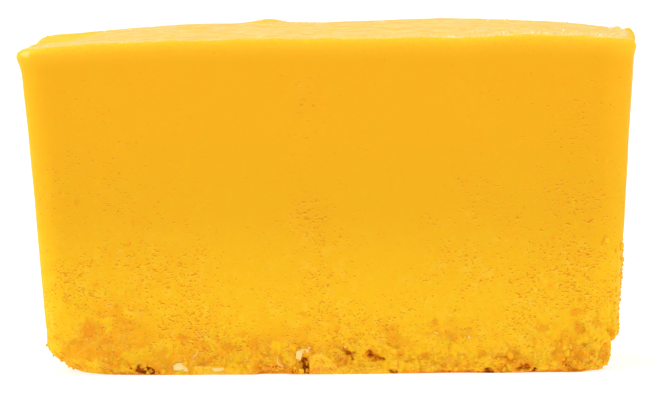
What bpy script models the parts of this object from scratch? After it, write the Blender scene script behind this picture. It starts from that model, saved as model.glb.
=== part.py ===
"""A block of mango sorbet turned out of a tapered tub.

One solid: a smooth drafted block with a soft melted rim, a slightly crowned top and a torn, craggy foot.
X runs along the block, Y from its front to its back, Z up. The origin is under its middle, on the flat base.
"""

from math import pi, radians, tan

import bpy
import numpy as np
from mathutils import Vector, noise

MM = 0.001

# Size of the block, as the tub shaped it
HEIGHT = 83.6 * MM
TOP_LENGTH = 153 * MM
TOP_DEPTH = 90 * MM
DRAFT = radians(4.15)
LEAN = radians(0.2)
CORNER_RADIUS = 8 * MM
RIM_RADIUS = 2.8 * MM

# The top's height over the rim plane in millimetres, along the block: at the front edge and at the back edge
FRONT_CREST = (
    (-76, -1.0),
    (-66, -0.5),
    (-50, 0.1),
    (-25, 0.4),
    (15, 0.0),
    (35, 0.0),
    (50, 0.4),
    (66, -0.4),
    (76, -1.1),
)
BACK_CREST = (
    (-76, -0.9),
    (-66, -0.3),
    (-50, 0.9),
    (-40, 1.4),
    (0, 1.5),
    (28, 1.8),
    (48, 1.0),
    (60, 0.0),
    (76, -1.9),
)
CREST_BACK = 22.5 * MM
CREST_FADE = 26 * MM
TOP_TILT = radians(0.55)
TOP_WAVE = 0.25 * MM
TOP_WAVE_SIZE = 17 * MM

# Soft forms at the top: centre along the block, centre across it, radius, height
TOP_HUMP = (-17.0 * MM, 36 * MM, 4.5 * MM, 1.1 * MM)
LEFT_DIP = (-76 * MM, 4 * MM, 16 * MM, -1.1 * MM)
BACK_RIGHT_BEAD = (72.3 * MM, 42.6 * MM, 1.2 * MM, 0.8 * MM)
CORNER_BEAD = (75.3 * MM, 38 * MM, 1.4 * MM, 0.9 * MM)
TOP_FORMS = (TOP_HUMP, LEFT_DIP, BACK_RIGHT_BEAD, CORNER_BEAD)

# Melted lips on the rim's corners: side along X and along Y, height, reach outwards, spread in height and
# along the rim
FRONT_LEFT_LIP = (-1, -1, 82.2 * MM, 1.7 * MM, 2.2 * MM, 8 * MM)
FRONT_RIGHT_LIP = (1, -1, 82.6 * MM, 1.5 * MM, 2.2 * MM, 6 * MM)
BACK_RIGHT_LIP = (1, 1, 82.2 * MM, 0.7 * MM, 2.2 * MM, 7 * MM)
LIPS = (FRONT_LEFT_LIP, FRONT_RIGHT_LIP, BACK_RIGHT_LIP)
LIP_SAG = 1.5

# The foot's lower edge: how far it is rubbed in and up, and how hollow its corner is (1 round, 4 undercut)
FOOT_REACH = 2.2 * MM
FOOT_RISE = 1.5 * MM
FOOT_HOLLOW = 1.5
FOOT_SWING = 0.65
FOOT_SWING_SIZE = 8 * MM

# How far the lower edge of the front stands off the base, in millimetres along it
FRONT_FOOT_LINE = (
    (-58, 0.6),
    (-50, 0.6),
    (-44, 0.4),
    (-37, 0.0),
    (-29, 0.2),
    (-22, 0.0),
    (15, 0.0),
    (20, 0.3),
    (25, 0.8),
    (29, 1.2),
    (36, 1.2),
    (39, 0.4),
    (43, 0.0),
    (47, 0.2),
    (50, 0.8),
    (60, 0.8),
    (63, 0.2),
    (66, 0.0),
)
FRONT_FOOT_RISE = 0.2 * MM
FRONT_FOOT_SLOPE = 1.2
FRONT_FOOT_END = 0.08

# Broken ends of the foot: direction along the block, reach in, rise, length of the change along the front
LEFT_BREAK = (-1, 10.0 * MM, 6.8 * MM, 26 * MM)
RIGHT_BREAK = (1, 2.8 * MM, 1.6 * MM, 12 * MM)
BREAK_HOLLOW = 1.05
BREAK_INTO_FRONT = 0.3
BREAK_SWING_IN = 0.1
BREAK_SWING_UP = 0.2

# A ledge along the right side where its lowest part broke away
LEDGE_TOP = 8.7 * MM
LEDGE_DEPTH = 1.7 * MM
LEDGE_STEP = 0.8 * MM
LEDGE_WANDER = 1.6 * MM

# Undercut notches in the foot, by the side they open to: place along the side, half width, rise
FRONT_NOTCHES = ((-14.4, 3.7, 1.6),)
BACK_NOTCHES = ((31.0, 5.5, 1.7), (-22.0, 3.5, 1.2))
LEFT_NOTCHES = ()
RIGHT_NOTCHES = ((14.0, 4.0, 1.5),)
NOTCH_DEPTH = 2.4 * MM
NOTCH_HOLLOW = 2.4
NOTCH_EDGE = 0.8 * MM

# Hollows torn out of the front above the foot: place along it, height, half width, half height, depth,
# in millimetres
FRONT_HOLLOWS = (
    (-46.3, 1.3, 2.5, 1.0, 2.4),
    (-6.2, 2.2, 1.2, 2.3, 2.6),
    (5.1, 5.2, 1.3, 1.2, 1.9),
    (3.4, 6.3, 0.8, 0.7, 1.5),
    (10.0, 4.9, 1.0, 0.9, 1.9),
    (12.2, 3.8, 1.4, 0.8, 1.9),
    (2.7, 3.4, 1.5, 1.0, 0.7),
    (15.9, 0.5, 1.0, 0.8, 1.7),
    (39.3, 0.6, 1.7, 0.9, 1.9),
    (48.2, 1.2, 2.5, 0.9, 1.9),
    (59.2, 2.0, 1.4, 1.4, 1.1),
    (-37.2, 9.6, 2.2, 0.9, 0.4),
    (-59.8, 10.8, 1.7, 2.4, 0.4),
    (61.2, 15.0, 2.0, 1.1, 0.35),
    (52.7, 11.0, 2.4, 1.2, 0.35),
    (-25.5, 7.2, 3.4, 1.5, 0.4),
    (26.5, 11.5, 2.0, 1.6, 0.35),
    (16.0, 10.0, 1.4, 1.8, 0.35),
)
HOLLOW_WALL = 2.6
HOLLOW_WANDER = 0.6
HOLLOW_WANDER_SIZE = 1.6 * MM

# Hollows on the other three sides, drawn at random, in millimetres: how far from the side's middle, at what
# heights, just over the base or in the torn skin, and between what sizes and depths
HOLLOWS_ELSEWHERE = 22
HOLLOW_SEED = 11
HOLLOW_REACH = {1: 32, 2: 60, 3: 32}
LOW_HOLLOWS = (0.6, 1.0)
HIGH_HOLLOWS = (2.0, 15.0)
HOLLOW_HALF_WIDTHS = (1.6, 3.2)
HOLLOW_HALF_HEIGHTS = (1.0, 2.2)
HOLLOW_DEPTHS = (0.8, 2.4)

# Peeled skin and melted film on the front of the foot: start and end along it, top edge at start and end,
# bulge of that edge, thickness, in millimetres
FOOT_FILMS = (
    (-5.3, 1.8, 4.6, 2.0, 1.0, 0.9),
    (-4.8, 14.2, 1.9, 1.6, 0.1, 0.6),
    (-34.2, -22.4, 2.1, 1.5, 0.3, 0.6),
)
FILM_EDGE = 0.5
FILM_COVERS_FROM = 0.3 * MM
FILM_SMOOTHS = 0.85

# The torn skin: its upper edge in millimetres along the front, and the sizes and depths of its relief
TORN_EDGE = ((-76, 27), (-60, 26), (-40, 20), (-10, 17), (20, 18), (45, 17), (62, 21), (76, 24))
TORN_FADE = 16 * MM
TORN_WANDER = 5 * MM
LUMP_SIZE = 4.6 * MM
LUMP_HEIGHT = 1.0 * MM
LUMP_CROWN = 0.55
LUMP_GAP = 0.5
LUMP_GAP_WIDTH = 0.12
FLAKE_SIZE = 9 * MM
FLAKE_DEPTH = 0.9 * MM
FLAKE_EDGE = (0.06, 0.2)
GRAIN_SIZE = 2.4 * MM
GRAIN_HEIGHT = 0.4 * MM
WAVE_SIZE = 24 * MM
WAVE_HEIGHT = 0.3 * MM

# How coarse the foot is: all round, and on the front from its left half to its right half
COARSE_ROUND = 0.85
COARSE_FRONT = (0.5, 1.0)
COARSE_CHANGE = (-32 * MM, 14 * MM)

# Where each noise is taken from, so that no two repeat each other
SWING_IN_PLACE = 3.7
SWING_UP_PLACE = 21.3
HOLLOW_PLACE = 5.1
TORN_PLACE = 13.9
LUMP_PLACE = 1.3
FLAKE_PLACE = 31.0
GRAIN_PLACE = 47.0
WAVE_PLACE = 59.0
LEDGE_PLACE = 27.0
TOP_PLACE = 71.0

# Mesh
SPACING = 1.0 * MM
FOOT_ROWS = 9
FOOT_STILL_ROWS = 6.3
TRIANGLES = 11800
BASE_SNAP = 0.05 * MM
SHARP_ANGLE = radians(50)

# Finish
SORBET_COLOUR = (0.94, 0.434, 0.015, 1.0)
SORBET_ROUGHNESS = 0.45


def smooth_step(value, low, high):
    """0 below low, 1 above high, and an even S between them."""
    t = np.clip((value - low) / (high - low), 0.0, 1.0)
    return t * t * (3.0 - 2.0 * t)


def smooth_curve(knots, x):
    """Height at x, in metres, of a smooth curve through knots given in millimetres."""
    kx, ky = np.array(knots, float).T * MM
    slope = np.gradient(ky, kx)
    x = np.clip(x, kx[0], kx[-1])
    i = np.clip(np.searchsorted(kx, x) - 1, 0, len(kx) - 2)
    width = kx[i + 1] - kx[i]
    t = (x - kx[i]) / width
    rise = ky[i] * (1 + 2 * t) * (1 - t) ** 2 + ky[i + 1] * t * t * (3 - 2 * t)
    return rise + width * t * (1 - t) * (slope[i] * (1 - t) - slope[i + 1] * t)


def fractal_noise(points, size, octaves, seed):
    """Soft noise of about -1 to 1 whose largest swells are size across."""
    return np.array([noise.fractal(Vector(p), 1.0, 2.0, octaves) for p in points / size + seed])


def cell_noise(points, size, seed):
    """Distances to the nearest and the second nearest of scattered cell centres, in cell sizes."""
    found = [noise.voronoi(Vector(p))[0][:2] for p in points / size + seed]
    return np.array(found).T


def ring_layout(spacing):
    """The number of steps along a long and a short side, and each ring point's side and place on it."""
    long_steps = round(TOP_LENGTH / spacing)
    short_steps = round(TOP_DEPTH / spacing)
    steps = (long_steps, short_steps, long_steps, short_steps)
    side = np.repeat(np.arange(4), steps)
    place = np.concatenate([np.arange(n) / n for n in steps])
    return long_steps, short_steps, side, place


def outline(side, place, half_length, half_depth, radius):
    """Points and outward directions round a rectangle with round corners, anticlockwise from the front."""
    along = np.where(side % 2 == 0, half_length, half_depth) - radius
    across = np.where(side % 2 == 0, half_depth, half_length) - radius
    travel = (place - 0.5) * (2 * along + radius * pi / 2)
    bend = np.maximum(np.abs(travel) - along, 0) / radius
    u = np.sign(travel) * (np.minimum(np.abs(travel), along) + radius * np.sin(bend))
    v = -(across + radius * np.cos(bend))
    nu = np.sign(travel) * np.sin(bend)
    nv = -np.cos(bend)
    cosine = np.array((1, 0, -1, 0))[side]
    sine = np.array((0, 1, 0, -1))[side]
    x = u * cosine - v * sine
    y = u * sine + v * cosine
    return x, y, nu * cosine - nv * sine, nu * sine + nv * cosine


def mould_outline(side, place, z, cut_x, cut_y, inset):
    """The drafted block's outline at height z, shortened by cut_x and cut_y and drawn in by inset."""
    drawn_in = (HEIGHT - z) * tan(DRAFT) + inset
    half_length = TOP_LENGTH / 2 - drawn_in - cut_x
    half_depth = TOP_DEPTH / 2 - drawn_in - cut_y
    x, y, nx, ny = outline(side, place, half_length, half_depth, CORNER_RADIUS - inset)
    return x + (HEIGHT - z) * tan(LEAN), y, nx, ny


def notch_strength(side, x, y):
    """0 to 1 where the foot is undercut, and the height of the undercut there."""
    strength = np.zeros_like(x)
    rise = np.zeros_like(x)
    for number, notches in enumerate((FRONT_NOTCHES, RIGHT_NOTCHES, BACK_NOTCHES, LEFT_NOTCHES)):
        along = x if number % 2 == 0 else y
        for centre, half_width, height in notches:
            off = np.abs(along - centre * MM)
            inside = 1.0 - smooth_step(off, half_width * MM - NOTCH_EDGE, half_width * MM + NOTCH_EDGE)
            inside = np.where(side == number, inside, 0.0)
            strength = np.maximum(strength, inside)
            rise = np.maximum(rise, inside * height * MM)
    return strength, rise


def foot_shape(side, place):
    """For each ring point, how far the lower edge is cut in along X and Y and up, and how hollow it is."""
    x, y, _, _ = mould_outline(side, place, 0.0, 0.0, 0.0, 0.0)
    edge = np.stack((x, y, np.zeros_like(x)), axis=1)
    swing_in = 1.0 + FOOT_SWING * fractal_noise(edge, FOOT_SWING_SIZE, 3, SWING_IN_PLACE)
    swing_up = 1.0 + FOOT_SWING * fractal_noise(edge, FOOT_SWING_SIZE, 3, SWING_UP_PLACE)
    from_end = np.minimum(place, 1.0 - place)
    front = (side == 0) * smooth_step(from_end, 0.0, FRONT_FOOT_END)
    front_rise = FRONT_FOOT_RISE * swing_up + smooth_curve(FRONT_FOOT_LINE, x)
    front_cut = FOOT_REACH / 2 + FRONT_FOOT_SLOPE * front_rise
    rise = FOOT_RISE * swing_up * (1 - front) + front_rise * front
    cut_x = FOOT_REACH * swing_in
    cut_y = FOOT_REACH * swing_in * (1 - front) + front_cut * front
    hollow = np.full_like(x, FOOT_HOLLOW)
    foot_end = TOP_LENGTH / 2 - HEIGHT * tan(DRAFT)
    middle = HEIGHT * tan(LEAN)
    for direction, reach, height, length in (LEFT_BREAK, RIGHT_BREAK):
        near = smooth_step(direction * (x - middle), foot_end - length, foot_end)
        cut_x += near * reach * (1 - BREAK_SWING_IN + BREAK_SWING_IN * swing_in)
        cut_y += near * reach * BREAK_INTO_FRONT
        rise += near * height * (1 - BREAK_SWING_UP + BREAK_SWING_UP * swing_up)
        hollow += near * (BREAK_HOLLOW - FOOT_HOLLOW)
    strength, notch_rise = notch_strength(side, x, y)
    cut_y += np.where(side % 2 == 0, strength * NOTCH_DEPTH, 0.0)
    cut_x += np.where(side % 2 == 1, strength * NOTCH_DEPTH, 0.0)
    rise = np.maximum(rise, notch_rise)
    hollow += strength * (NOTCH_HOLLOW - hollow)
    return cut_x, cut_y, rise, hollow


def side_rows(side, place, spacing):
    """Points and outward directions of every row from the base edge up to the inner edge of the rim."""
    cut_x, cut_y, rise, hollow = foot_shape(side, place)
    rows = []
    for step in np.arange(FOOT_ROWS) / FOOT_ROWS:
        angle = step * pi / 2
        left = 1.0 - np.sin(angle) ** hollow
        z = rise * (1.0 - np.cos(angle) ** hollow)
        x, y, nx, ny = mould_outline(side, place, z, cut_x * left, cut_y * left, 0.0)
        rows.append((x, y, z, nx, ny, np.zeros_like(x)))
    face_rows = round((HEIGHT - RIM_RADIUS) / spacing)
    for step in np.arange(face_rows) / face_rows:
        z = rise + (HEIGHT - RIM_RADIUS - rise) * step
        x, y, nx, ny = mould_outline(side, place, z, 0.0, 0.0, 0.0)
        rows.append((x, y, z, nx, ny, np.zeros_like(x)))
    rim_rows = round(RIM_RADIUS * pi / 2 / spacing) + 1
    for step in np.arange(rim_rows + 1) / rim_rows:
        angle = step * pi / 2
        inset = RIM_RADIUS * (1.0 - np.cos(angle))
        z = np.full_like(rise, HEIGHT - RIM_RADIUS * (1.0 - np.sin(angle)))
        x, y, nx, ny = mould_outline(side, place, z, 0.0, 0.0, inset)
        rows.append((x, y, z, nx * np.cos(angle), ny * np.cos(angle), np.full_like(x, np.sin(angle))))
    table = np.array(rows)
    return table[:, :3].transpose(0, 2, 1), table[:, 3:].transpose(0, 2, 1)


def cap_inside(ring, long_steps, short_steps):
    """Points inside a closed ring, blended from its four sides."""
    corner = np.cumsum((0, long_steps, short_steps, long_steps))
    front = ring[: long_steps + 1]
    right = ring[corner[1] : corner[2] + 1]
    back = ring[corner[2] : corner[3] + 1][::-1]
    left = np.concatenate((ring[corner[3] :], ring[:1]))[::-1]
    u = np.linspace(0, 1, long_steps + 1)[1:-1, None, None]
    v = np.linspace(0, 1, short_steps + 1)[None, 1:-1, None]
    blend = (1 - v) * front[1:-1, None] + v * back[1:-1, None]
    blend = blend + (1 - u) * left[None, 1:-1] + u * right[None, 1:-1]
    blend -= (1 - u) * ((1 - v) * front[0] + v * back[0])
    blend -= u * ((1 - v) * front[-1] + v * back[-1])
    return blend


def cap_faces(ring_start, inside_start, long_steps, short_steps, ring_size):
    """Quads of a cap between its ring and the points inside it, seen from above anticlockwise."""
    index = np.empty((long_steps + 1, short_steps + 1), int)
    inner = np.arange((long_steps - 1) * (short_steps - 1)).reshape(long_steps - 1, short_steps - 1)
    index[1:-1, 1:-1] = inside_start + inner
    ring = ring_start + np.arange(ring_size)
    index[:, 0] = ring[: long_steps + 1]
    index[-1, :] = ring[long_steps : long_steps + short_steps + 1]
    index[:, -1] = ring[long_steps + short_steps : 2 * long_steps + short_steps + 1][::-1]
    index[0, :] = np.append(ring[2 * long_steps + short_steps :], ring[0])[::-1]
    corners = (index[:-1, :-1], index[1:, :-1], index[1:, 1:], index[:-1, 1:])
    return np.stack([c.ravel() for c in corners], axis=1)


def dip(off_u, off_v, sharpness):
    """1 at the middle of an oval, 0 outside it, with a wall that is steeper the larger the sharpness."""
    return np.clip((1.0 - off_u * off_u - off_v * off_v) * sharpness, 0.0, 1.0)


def hollows_elsewhere():
    """Hollows torn out of the other three sides, drawn at random: side, place, height, half sizes, depth."""
    draw = np.random.default_rng(HOLLOW_SEED)
    found = []
    for _ in range(HOLLOWS_ELSEWHERE):
        number = draw.choice((1, 2, 2, 3))
        reach = HOLLOW_REACH[number]
        height = draw.uniform(*(LOW_HOLLOWS if draw.random() < 0.5 else HIGH_HOLLOWS))
        half_width = draw.uniform(*HOLLOW_HALF_WIDTHS)
        half_height = draw.uniform(*HOLLOW_HALF_HEIGHTS)
        centre = draw.uniform(-reach, reach)
        found.append((number, centre, height, half_width, half_height, draw.uniform(*HOLLOW_DEPTHS)))
    return found


def hollow_depth(points, outward):
    """Depth of the torn hollows at each point."""
    x, y, z = points.T
    wander = fractal_noise(points, HOLLOW_WANDER_SIZE, 3, HOLLOW_PLACE) * HOLLOW_WANDER
    facing = (-outward[:, 1], outward[:, 0], outward[:, 1], -outward[:, 0])
    front = [(0, *hollow) for hollow in FRONT_HOLLOWS]
    depth = np.zeros_like(x)
    for number, centre, height, half_width, half_height, deep in front + hollows_elsewhere():
        along = x if number % 2 == 0 else y
        off_along = (along - centre * MM) / (half_width * MM)
        off_up = (z - height * MM) / (half_height * MM)
        oval = dip(off_along + wander, off_up - wander, HOLLOW_WALL)
        depth = np.maximum(depth, oval * np.clip(facing[number] * 2 - 1, 0, 1) * deep * MM)
    return depth


def film_height(points, outward):
    """Thickness of the peeled skin and film on the front of the foot."""
    x, _, z = points.T
    facing = smooth_step(-outward[:, 1], 0.6, 0.9)
    height = np.zeros_like(x)
    for start, end, start_top, end_top, bulge, thick in FOOT_FILMS:
        t = np.clip((x / MM - start) / (end - start), 0.0, 1.0)
        edge = start_top + (end_top - start_top) * t * t + bulge * np.sin(pi * t)
        from_end = np.minimum(x / MM - start, end - x / MM)
        inside = smooth_step(from_end, 0.0, FILM_EDGE)
        under = 1 - smooth_step(z / MM, edge - FILM_EDGE, edge)
        height = np.maximum(height, facing * inside * under * thick * MM)
    return height


def lip_height(points):
    """Reach of the melted lips at the corners of the rim."""
    x, y, z = points.T
    height = np.zeros_like(x)
    for side_x, side_y, level, reach, spread_z, spread_along in LIPS:
        off_x = x - side_x * (TOP_LENGTH / 2 - CORNER_RADIUS / 2)
        off_y = y - side_y * (TOP_DEPTH / 2 - CORNER_RADIUS / 2)
        near = np.exp(-(off_x**2 + off_y**2) / spread_along**2)
        below = np.where(z < level, spread_z * LIP_SAG, spread_z)
        height += reach * near * np.exp(-(((z - level) / below) ** 2))
    return height


def torn_strength(points):
    """0 on whole skin, rising to 1 where the skin near the foot is torn."""
    wander = TORN_WANDER * fractal_noise(points, FLAKE_SIZE, 2, TORN_PLACE)
    edge = smooth_curve(TORN_EDGE, points[:, 0]) + wander
    return 1.0 - smooth_step(points[:, 2], edge - TORN_FADE, edge)


def ledge_depth(points, outward):
    """Depth of the ledge along the lowest part of the right side."""
    edge = LEDGE_TOP + LEDGE_WANDER * fractal_noise(points, FLAKE_SIZE, 2, LEDGE_PLACE)
    below = 1 - smooth_step(points[:, 2], edge - LEDGE_STEP, edge)
    return LEDGE_DEPTH * below * smooth_step(outward[:, 0], 0.25, 0.75)


def coarseness(points, outward):
    """How strongly the torn foot crumbles: less on the left half of the front."""
    facing = smooth_step(-outward[:, 1], 0.3, 0.8)
    low, high = COARSE_FRONT
    front = low + (high - low) * smooth_step(points[:, 0], *COARSE_CHANGE)
    return COARSE_ROUND + facing * (front - COARSE_ROUND)


def side_relief(points, outward):
    """Displacement along the outward direction over the whole side surface."""
    torn = torn_strength(points)
    near, second = cell_noise(points, LUMP_SIZE, LUMP_PLACE)
    lumps = LUMP_CROWN - near**2 - LUMP_GAP * np.exp((near - second) / LUMP_GAP_WIDTH)
    flakes = smooth_step(fractal_noise(points, FLAKE_SIZE, 3, FLAKE_PLACE), *FLAKE_EDGE)
    grain = fractal_noise(points, GRAIN_SIZE, 3, GRAIN_PLACE)
    rough = torn * LUMP_HEIGHT * lumps - FLAKE_DEPTH * flakes + GRAIN_HEIGHT * grain
    relief = WAVE_HEIGHT * fractal_noise(points, WAVE_SIZE, 2, WAVE_PLACE)
    relief += torn * rough * coarseness(points, outward)
    film = film_height(points, outward)
    cover = np.clip(film / FILM_COVERS_FROM, 0, 1)
    relief = relief * (1 - FILM_SMOOTHS * cover) + film
    relief -= hollow_depth(points, outward) * (1 - cover)
    return relief - ledge_depth(points, outward)


def crest(x, y):
    """How far the top stands over the rim plane."""
    back = smooth_step(y, -TOP_DEPTH / 2, CREST_BACK)
    height = smooth_curve(FRONT_CREST, x) * (1 - back) + smooth_curve(BACK_CREST, x) * back
    height += x * tan(TOP_TILT)
    for centre_x, centre_y, radius, rise in TOP_FORMS:
        height += rise * np.exp(-((x - centre_x) ** 2 + (y - centre_y) ** 2) / radius**2)
    flat = np.stack((x, y, np.zeros_like(x)), axis=1)
    return height + TOP_WAVE * fractal_noise(flat, TOP_WAVE_SIZE, 3, TOP_PLACE)


def raise_top(points):
    """Moves the upper part of the block up or down to the crest, fading out down the sides."""
    x, y, z = points.T
    share = smooth_step(z, HEIGHT - CREST_FADE, HEIGHT)
    return np.stack((x, y, z + share * crest(x, y)), axis=1)


def block_mesh(spacing):
    """Vertices and quads of the whole block."""
    long_steps, short_steps, side, place = ring_layout(spacing)
    ring_size = len(side)
    rows, outward = side_rows(side, place, spacing)
    row_count = len(rows)
    base_ring = rows[0]
    upward = outward[:, :, 2]
    low = smooth_step(np.arange(row_count), 0, FOOT_STILL_ROWS)[:, None]
    relief = side_relief(rows.reshape(-1, 3), outward.reshape(-1, 3)).reshape(row_count, ring_size)
    lips = lip_height(rows.reshape(-1, 3)).reshape(row_count, ring_size)
    level = np.sqrt(np.maximum(1 - upward**2, 0.01))
    rows = rows + outward * (relief * low * (1 - upward))[:, :, None]
    rows[:, :, :2] += outward[:, :, :2] * (lips / np.sqrt(level))[:, :, None]
    rows[:, :, 2] = np.maximum(rows[:, :, 2], 0.0)
    rows[0] = base_ring
    base = cap_inside(rows[0], long_steps, short_steps).reshape(-1, 3)
    top = cap_inside(rows[-1], long_steps, short_steps).reshape(-1, 3)
    points = np.concatenate((raise_top(rows.reshape(-1, 3)), base, raise_top(top)))
    index = np.arange(row_count * ring_size).reshape(row_count, ring_size)
    onward = np.roll(index, -1, axis=1)
    corners = (index[:-1], onward[:-1], onward[1:], index[1:])
    sides = np.stack([c.ravel() for c in corners], axis=1)
    base_start = row_count * ring_size
    base_faces = cap_faces(0, base_start, long_steps, short_steps, ring_size)[:, ::-1]
    top_faces = cap_faces(base_start - ring_size, base_start + len(base), long_steps, short_steps, ring_size)
    return points, np.concatenate((sides, base_faces, top_faces))


def sorbet_material():
    """Mango sorbet: an opaque warm yellow with a soft wet sheen."""
    material = bpy.data.materials.new("mango_sorbet")
    material.use_nodes = True
    shader = material.node_tree.nodes["Principled BSDF"]
    shader.inputs["Base Color"].default_value = SORBET_COLOUR
    shader.inputs["Roughness"].default_value = SORBET_ROUGHNESS
    shader.inputs["Metallic"].default_value = 0.0
    return material


def thinned(mesh, triangles):
    """The mesh reduced to about the given number of triangles, with its base kept flat."""
    scratch = bpy.data.objects.new("sorbet_dense", mesh)
    bpy.context.scene.collection.objects.link(scratch)
    reduce = scratch.modifiers.new("Reduce", "DECIMATE")
    reduce.ratio = triangles / (2 * len(mesh.polygons))
    graph = bpy.context.evaluated_depsgraph_get()
    result = bpy.data.meshes.new_from_object(scratch.evaluated_get(graph))
    bpy.data.objects.remove(scratch)
    bpy.data.meshes.remove(mesh)
    for vertex in result.vertices:
        if vertex.co.z < BASE_SNAP:
            vertex.co.z = 0.0
    return result


def add_sorbet_block():
    """The block as one object, shaded smooth except along its sharp breaks."""
    points, faces = block_mesh(SPACING)
    dense = bpy.data.meshes.new("sorbet_block")
    dense.from_pydata(points.tolist(), [], faces.tolist())
    mesh = thinned(dense, TRIANGLES)
    mesh.name = "sorbet_block"
    mesh.shade_smooth()
    mesh.set_sharp_from_angle(angle=SHARP_ANGLE)
    mesh.materials.append(sorbet_material())
    block = bpy.data.objects.new("sorbet_block", mesh)
    bpy.context.scene.collection.objects.link(block)
    return block


for old in list(bpy.data.objects):
    bpy.data.objects.remove(old, do_unlink=True)
add_sorbet_block()
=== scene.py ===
"""Mango sorbet turned out of a tapered tub: its skin, crumbs, flakes, ice and fibres, and a plain stage.

Laid out as a Blender add-on. Run as a script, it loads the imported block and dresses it.
"""

from math import cos, pi, radians, sin, tan

import bmesh
import bpy
import numpy as np
from mathutils import Matrix, Vector, noise
from mathutils.bvhtree import BVHTree


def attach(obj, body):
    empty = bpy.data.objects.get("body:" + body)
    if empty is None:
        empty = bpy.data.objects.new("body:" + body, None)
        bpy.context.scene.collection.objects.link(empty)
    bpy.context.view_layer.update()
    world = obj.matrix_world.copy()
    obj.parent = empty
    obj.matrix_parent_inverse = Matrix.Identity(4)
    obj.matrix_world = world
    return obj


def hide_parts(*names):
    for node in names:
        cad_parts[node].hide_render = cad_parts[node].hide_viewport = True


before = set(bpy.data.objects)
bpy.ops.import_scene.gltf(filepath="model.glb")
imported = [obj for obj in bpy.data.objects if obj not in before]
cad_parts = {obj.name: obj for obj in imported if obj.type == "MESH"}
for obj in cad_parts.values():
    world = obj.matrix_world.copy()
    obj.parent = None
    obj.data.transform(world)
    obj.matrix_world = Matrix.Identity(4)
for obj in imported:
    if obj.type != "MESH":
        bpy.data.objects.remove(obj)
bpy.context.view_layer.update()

bl_info = {
    "name": "Mango Sorbet Block",
    "version": (1, 0, 0),
    "blender": (4, 5, 0),
    "location": "View3D > Sidebar > Sorbet",
    "description": "Dresses a block of mango sorbet with its skin, crumbs, ice crystals and fibres",
    "category": "Object",
}

MM = 0.001

# The tub's mould, as the solid has it
HEIGHT = 83.6 * MM
TOP_LENGTH = 153 * MM
TOP_DEPTH = 90 * MM
DRAFT = radians(4.15)
LEAN = radians(0.2)
CORNER_RADIUS = 8 * MM
RIM_RADIUS = 2.8 * MM

# The top's height over the rim plane in millimetres, along the block: at the front edge and at the back edge
FRONT_CREST = (
    (-76, -1.0),
    (-66, -0.5),
    (-50, 0.1),
    (-25, 0.4),
    (15, 0.0),
    (35, 0.0),
    (50, 0.4),
    (66, -0.4),
    (76, -1.1),
)
BACK_CREST = (
    (-76, -0.9),
    (-66, -0.3),
    (-50, 0.9),
    (-40, 1.4),
    (0, 1.5),
    (28, 1.8),
    (48, 1.0),
    (60, 0.0),
    (76, -1.9),
)
CREST_BACK = 22.5 * MM
CREST_FADE = 26 * MM
TOP_TILT = radians(0.55)
TOP_WAVE = 0.25 * MM
TOP_WAVE_SIZE = 17 * MM

# Soft forms at the top: centre along the block, centre across it, radius, height
TOP_HUMP = (-17.0 * MM, 36 * MM, 4.5 * MM, 1.1 * MM)
LEFT_DIP = (-76 * MM, 4 * MM, 16 * MM, -1.1 * MM)
BACK_RIGHT_BEAD = (72.3 * MM, 42.6 * MM, 1.2 * MM, 0.8 * MM)
CORNER_BEAD = (75.3 * MM, 38 * MM, 1.4 * MM, 0.9 * MM)
TOP_FORMS = (TOP_HUMP, LEFT_DIP, BACK_RIGHT_BEAD, CORNER_BEAD)

# Melted lips on the rim's corners: side along X and along Y, height, reach outwards, spread in height and
# along the rim
FRONT_LEFT_LIP = (-1, -1, 82.2 * MM, 1.7 * MM, 2.2 * MM, 8 * MM)
FRONT_RIGHT_LIP = (1, -1, 82.6 * MM, 1.5 * MM, 2.2 * MM, 6 * MM)
BACK_RIGHT_LIP = (1, 1, 82.2 * MM, 0.7 * MM, 2.2 * MM, 7 * MM)
LIPS = (FRONT_LEFT_LIP, FRONT_RIGHT_LIP, BACK_RIGHT_LIP)
LIP_SAG = 1.5

# The foot's lower edge: how far it is rubbed in and up, and how hollow its corner is (1 round, 4 undercut)
FOOT_REACH = 2.2 * MM
FOOT_RISE = 1.5 * MM
FOOT_HOLLOW = 1.5
FOOT_SWING = 0.65
FOOT_SWING_SIZE = 8 * MM

# How far the lower edge of the front stands off the base, in millimetres along it
FRONT_FOOT_LINE = (
    (-58, 0.6),
    (-50, 0.6),
    (-44, 0.4),
    (-37, 0.0),
    (-29, 0.2),
    (-22, 0.0),
    (15, 0.0),
    (20, 0.3),
    (25, 0.8),
    (29, 1.2),
    (36, 1.2),
    (39, 0.4),
    (43, 0.0),
    (47, 0.2),
    (50, 0.8),
    (60, 0.8),
    (63, 0.2),
    (66, 0.0),
)
FRONT_FOOT_RISE = 0.05 * MM
FRONT_FOOT_SLOPE = 1.2
FRONT_FOOT_END = 0.08

# Broken ends of the foot: direction along the block, reach in, rise, length of the change along the front
LEFT_BREAK = (-1, 10.0 * MM, 6.8 * MM, 26 * MM)
RIGHT_BREAK = (1, 2.8 * MM, 1.6 * MM, 12 * MM)
BREAK_HOLLOW = 1.05
BREAK_INTO_FRONT = 0.3
BREAK_SWING_IN = 0.1
BREAK_SWING_UP = 0.2

# A ledge along the right side where its lowest part broke away
LEDGE_TOP = 8.7 * MM
LEDGE_DEPTH = 1.7 * MM
LEDGE_STEP = 0.8 * MM
LEDGE_WANDER = 1.6 * MM

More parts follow.
